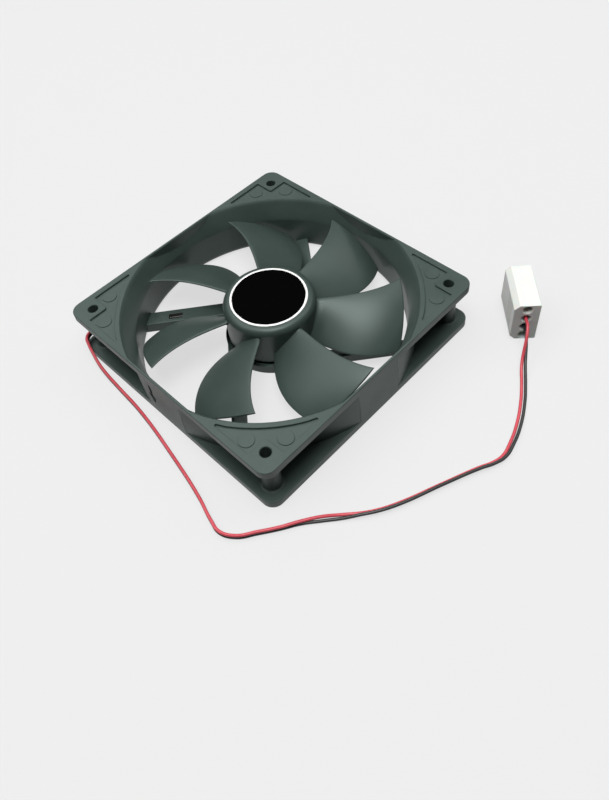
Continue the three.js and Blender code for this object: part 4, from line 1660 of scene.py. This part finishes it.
@dataclass(frozen=True)
class Softbox:
    """A square soft light: where it hangs and its size in metres, and its power in watts."""

    name: str
    place: tuple[float, float, float]
    size: float
    power: float

    def build(self) -> None:
        """Hangs the light, aimed at the fan."""
        data = bpy.data.lights.new(self.name, "AREA")
        data.size = self.size
        data.energy = self.power
        lamp = bpy.data.objects.new(self.name, data)
        lamp.location = self.place
        lamp.rotation_euler = Vector(self.place).to_track_quat("Z", "Y").to_euler()
        bpy.context.scene.collection.objects.link(lamp)


@dataclass
class Studio:
    """A pale table inside a pale dome, under four soft lights."""

    paper: str = "#ececec"
    glow: float = 0.8
    ambient: float = 0.02
    floor_low: float = 0.0001
    floor_size: float = 6.0
    dome: float = 5.8
    lights: tuple[Softbox, ...] = (
        Softbox("overhead_softbox", (0.15, -0.10, 0.95), 0.45, 6.2),
        Softbox("back_softbox", (-0.48, 0.13, 0.87), 0.8, 3.8),
        Softbox("left_softbox", (-0.35, -0.50, 0.79), 0.6, 2.5),
        Softbox("right_softbox", (0.17, 0.62, 0.77), 0.6, 2.3),
    )

    def glowing(self, tree: Tree, strength: float) -> Socket:
        """Paper that gives off its own light."""
        inputs = {"Color": linear(self.paper), "Strength": strength}
        return add_node(tree, "ShaderNodeEmission", inputs).outputs["Emission"]

    def floor(self) -> None:
        """A wide pale sheet at the fan's foot, which shows in its gloss but casts no soft light."""
        bm = bmesh.new()
        bmesh.ops.create_grid(bm, x_segments=1, y_segments=1, size=self.floor_size)
        piece = piece_of(moved(bm, shift(z=-self.floor_low)), "floor")
        material, tree = empty_material("floor_paper")
        matt = add_node(
            tree, "ShaderNodeBsdfDiffuse", {"Color": linear(self.paper), "Roughness": 1.0}
        )
        mixed = {"Fac": self.glow, 1: matt.outputs["BSDF"], 2: self.glowing(tree, 1.0)}
        both = add_node(tree, "ShaderNodeMixShader", mixed)
        add_node(tree, "ShaderNodeOutputMaterial", {"Surface": both.outputs["Shader"]})
        piece.data.materials.append(material)
        piece.visible_diffuse = False

    def backdrop(self) -> None:
        """A pale dome far behind everything, which only the camera sees."""
        bm = bmesh.new()
        bmesh.ops.create_uvsphere(bm, u_segments=32, v_segments=16, radius=self.dome)
        piece = piece_of(bm, "backdrop")
        material, tree = empty_material("backdrop_paper")
        add_node(tree, "ShaderNodeOutputMaterial", {"Surface": self.glowing(tree, self.glow)})
        piece.data.materials.append(material)
        piece.visible_diffuse = False
        piece.visible_glossy = False
        piece.visible_transmission = False
        piece.visible_shadow = False

    def build(self) -> None:
        """Makes the floor, the backdrop, the lights and the even light of the room."""
        self.floor()
        self.backdrop()
        for light in self.lights:
            light.build()
        world = bpy.data.worlds.new("room")
        world.use_nodes = True
        room = world.node_tree.nodes["Background"]
        room.inputs["Color"].default_value = (1.0, 1.0, 1.0, 1.0)
        room.inputs["Strength"].default_value = self.ambient
        bpy.context.scene.world = world
        bpy.context.scene.view_settings.view_transform = "Standard"


def main() -> None:
    """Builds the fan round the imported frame."""
    logging.basicConfig(level=logging.INFO, format="%(message)s")
    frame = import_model()
    Viewpoint().build()
    plug_place = PlugPlace()
    leads = Leads(plug_place)
    free = leads.build()
    plug = Plug(plug_place).build()
    leads.declare(free)
    low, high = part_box("frame_housing")
    Housing(side=(high.x - low.x) / MM, depth=(high.z - low.z) / MM).build()
    hub_low, hub_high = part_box("impeller")
    Impeller(top=hub_high.z / MM, skirt_low=hub_low.z / MM).build()
    Stickers().build()
    Motor(frame["nodes"]).build()
    Studio().build()


if __name__ == "__main__":
    main()
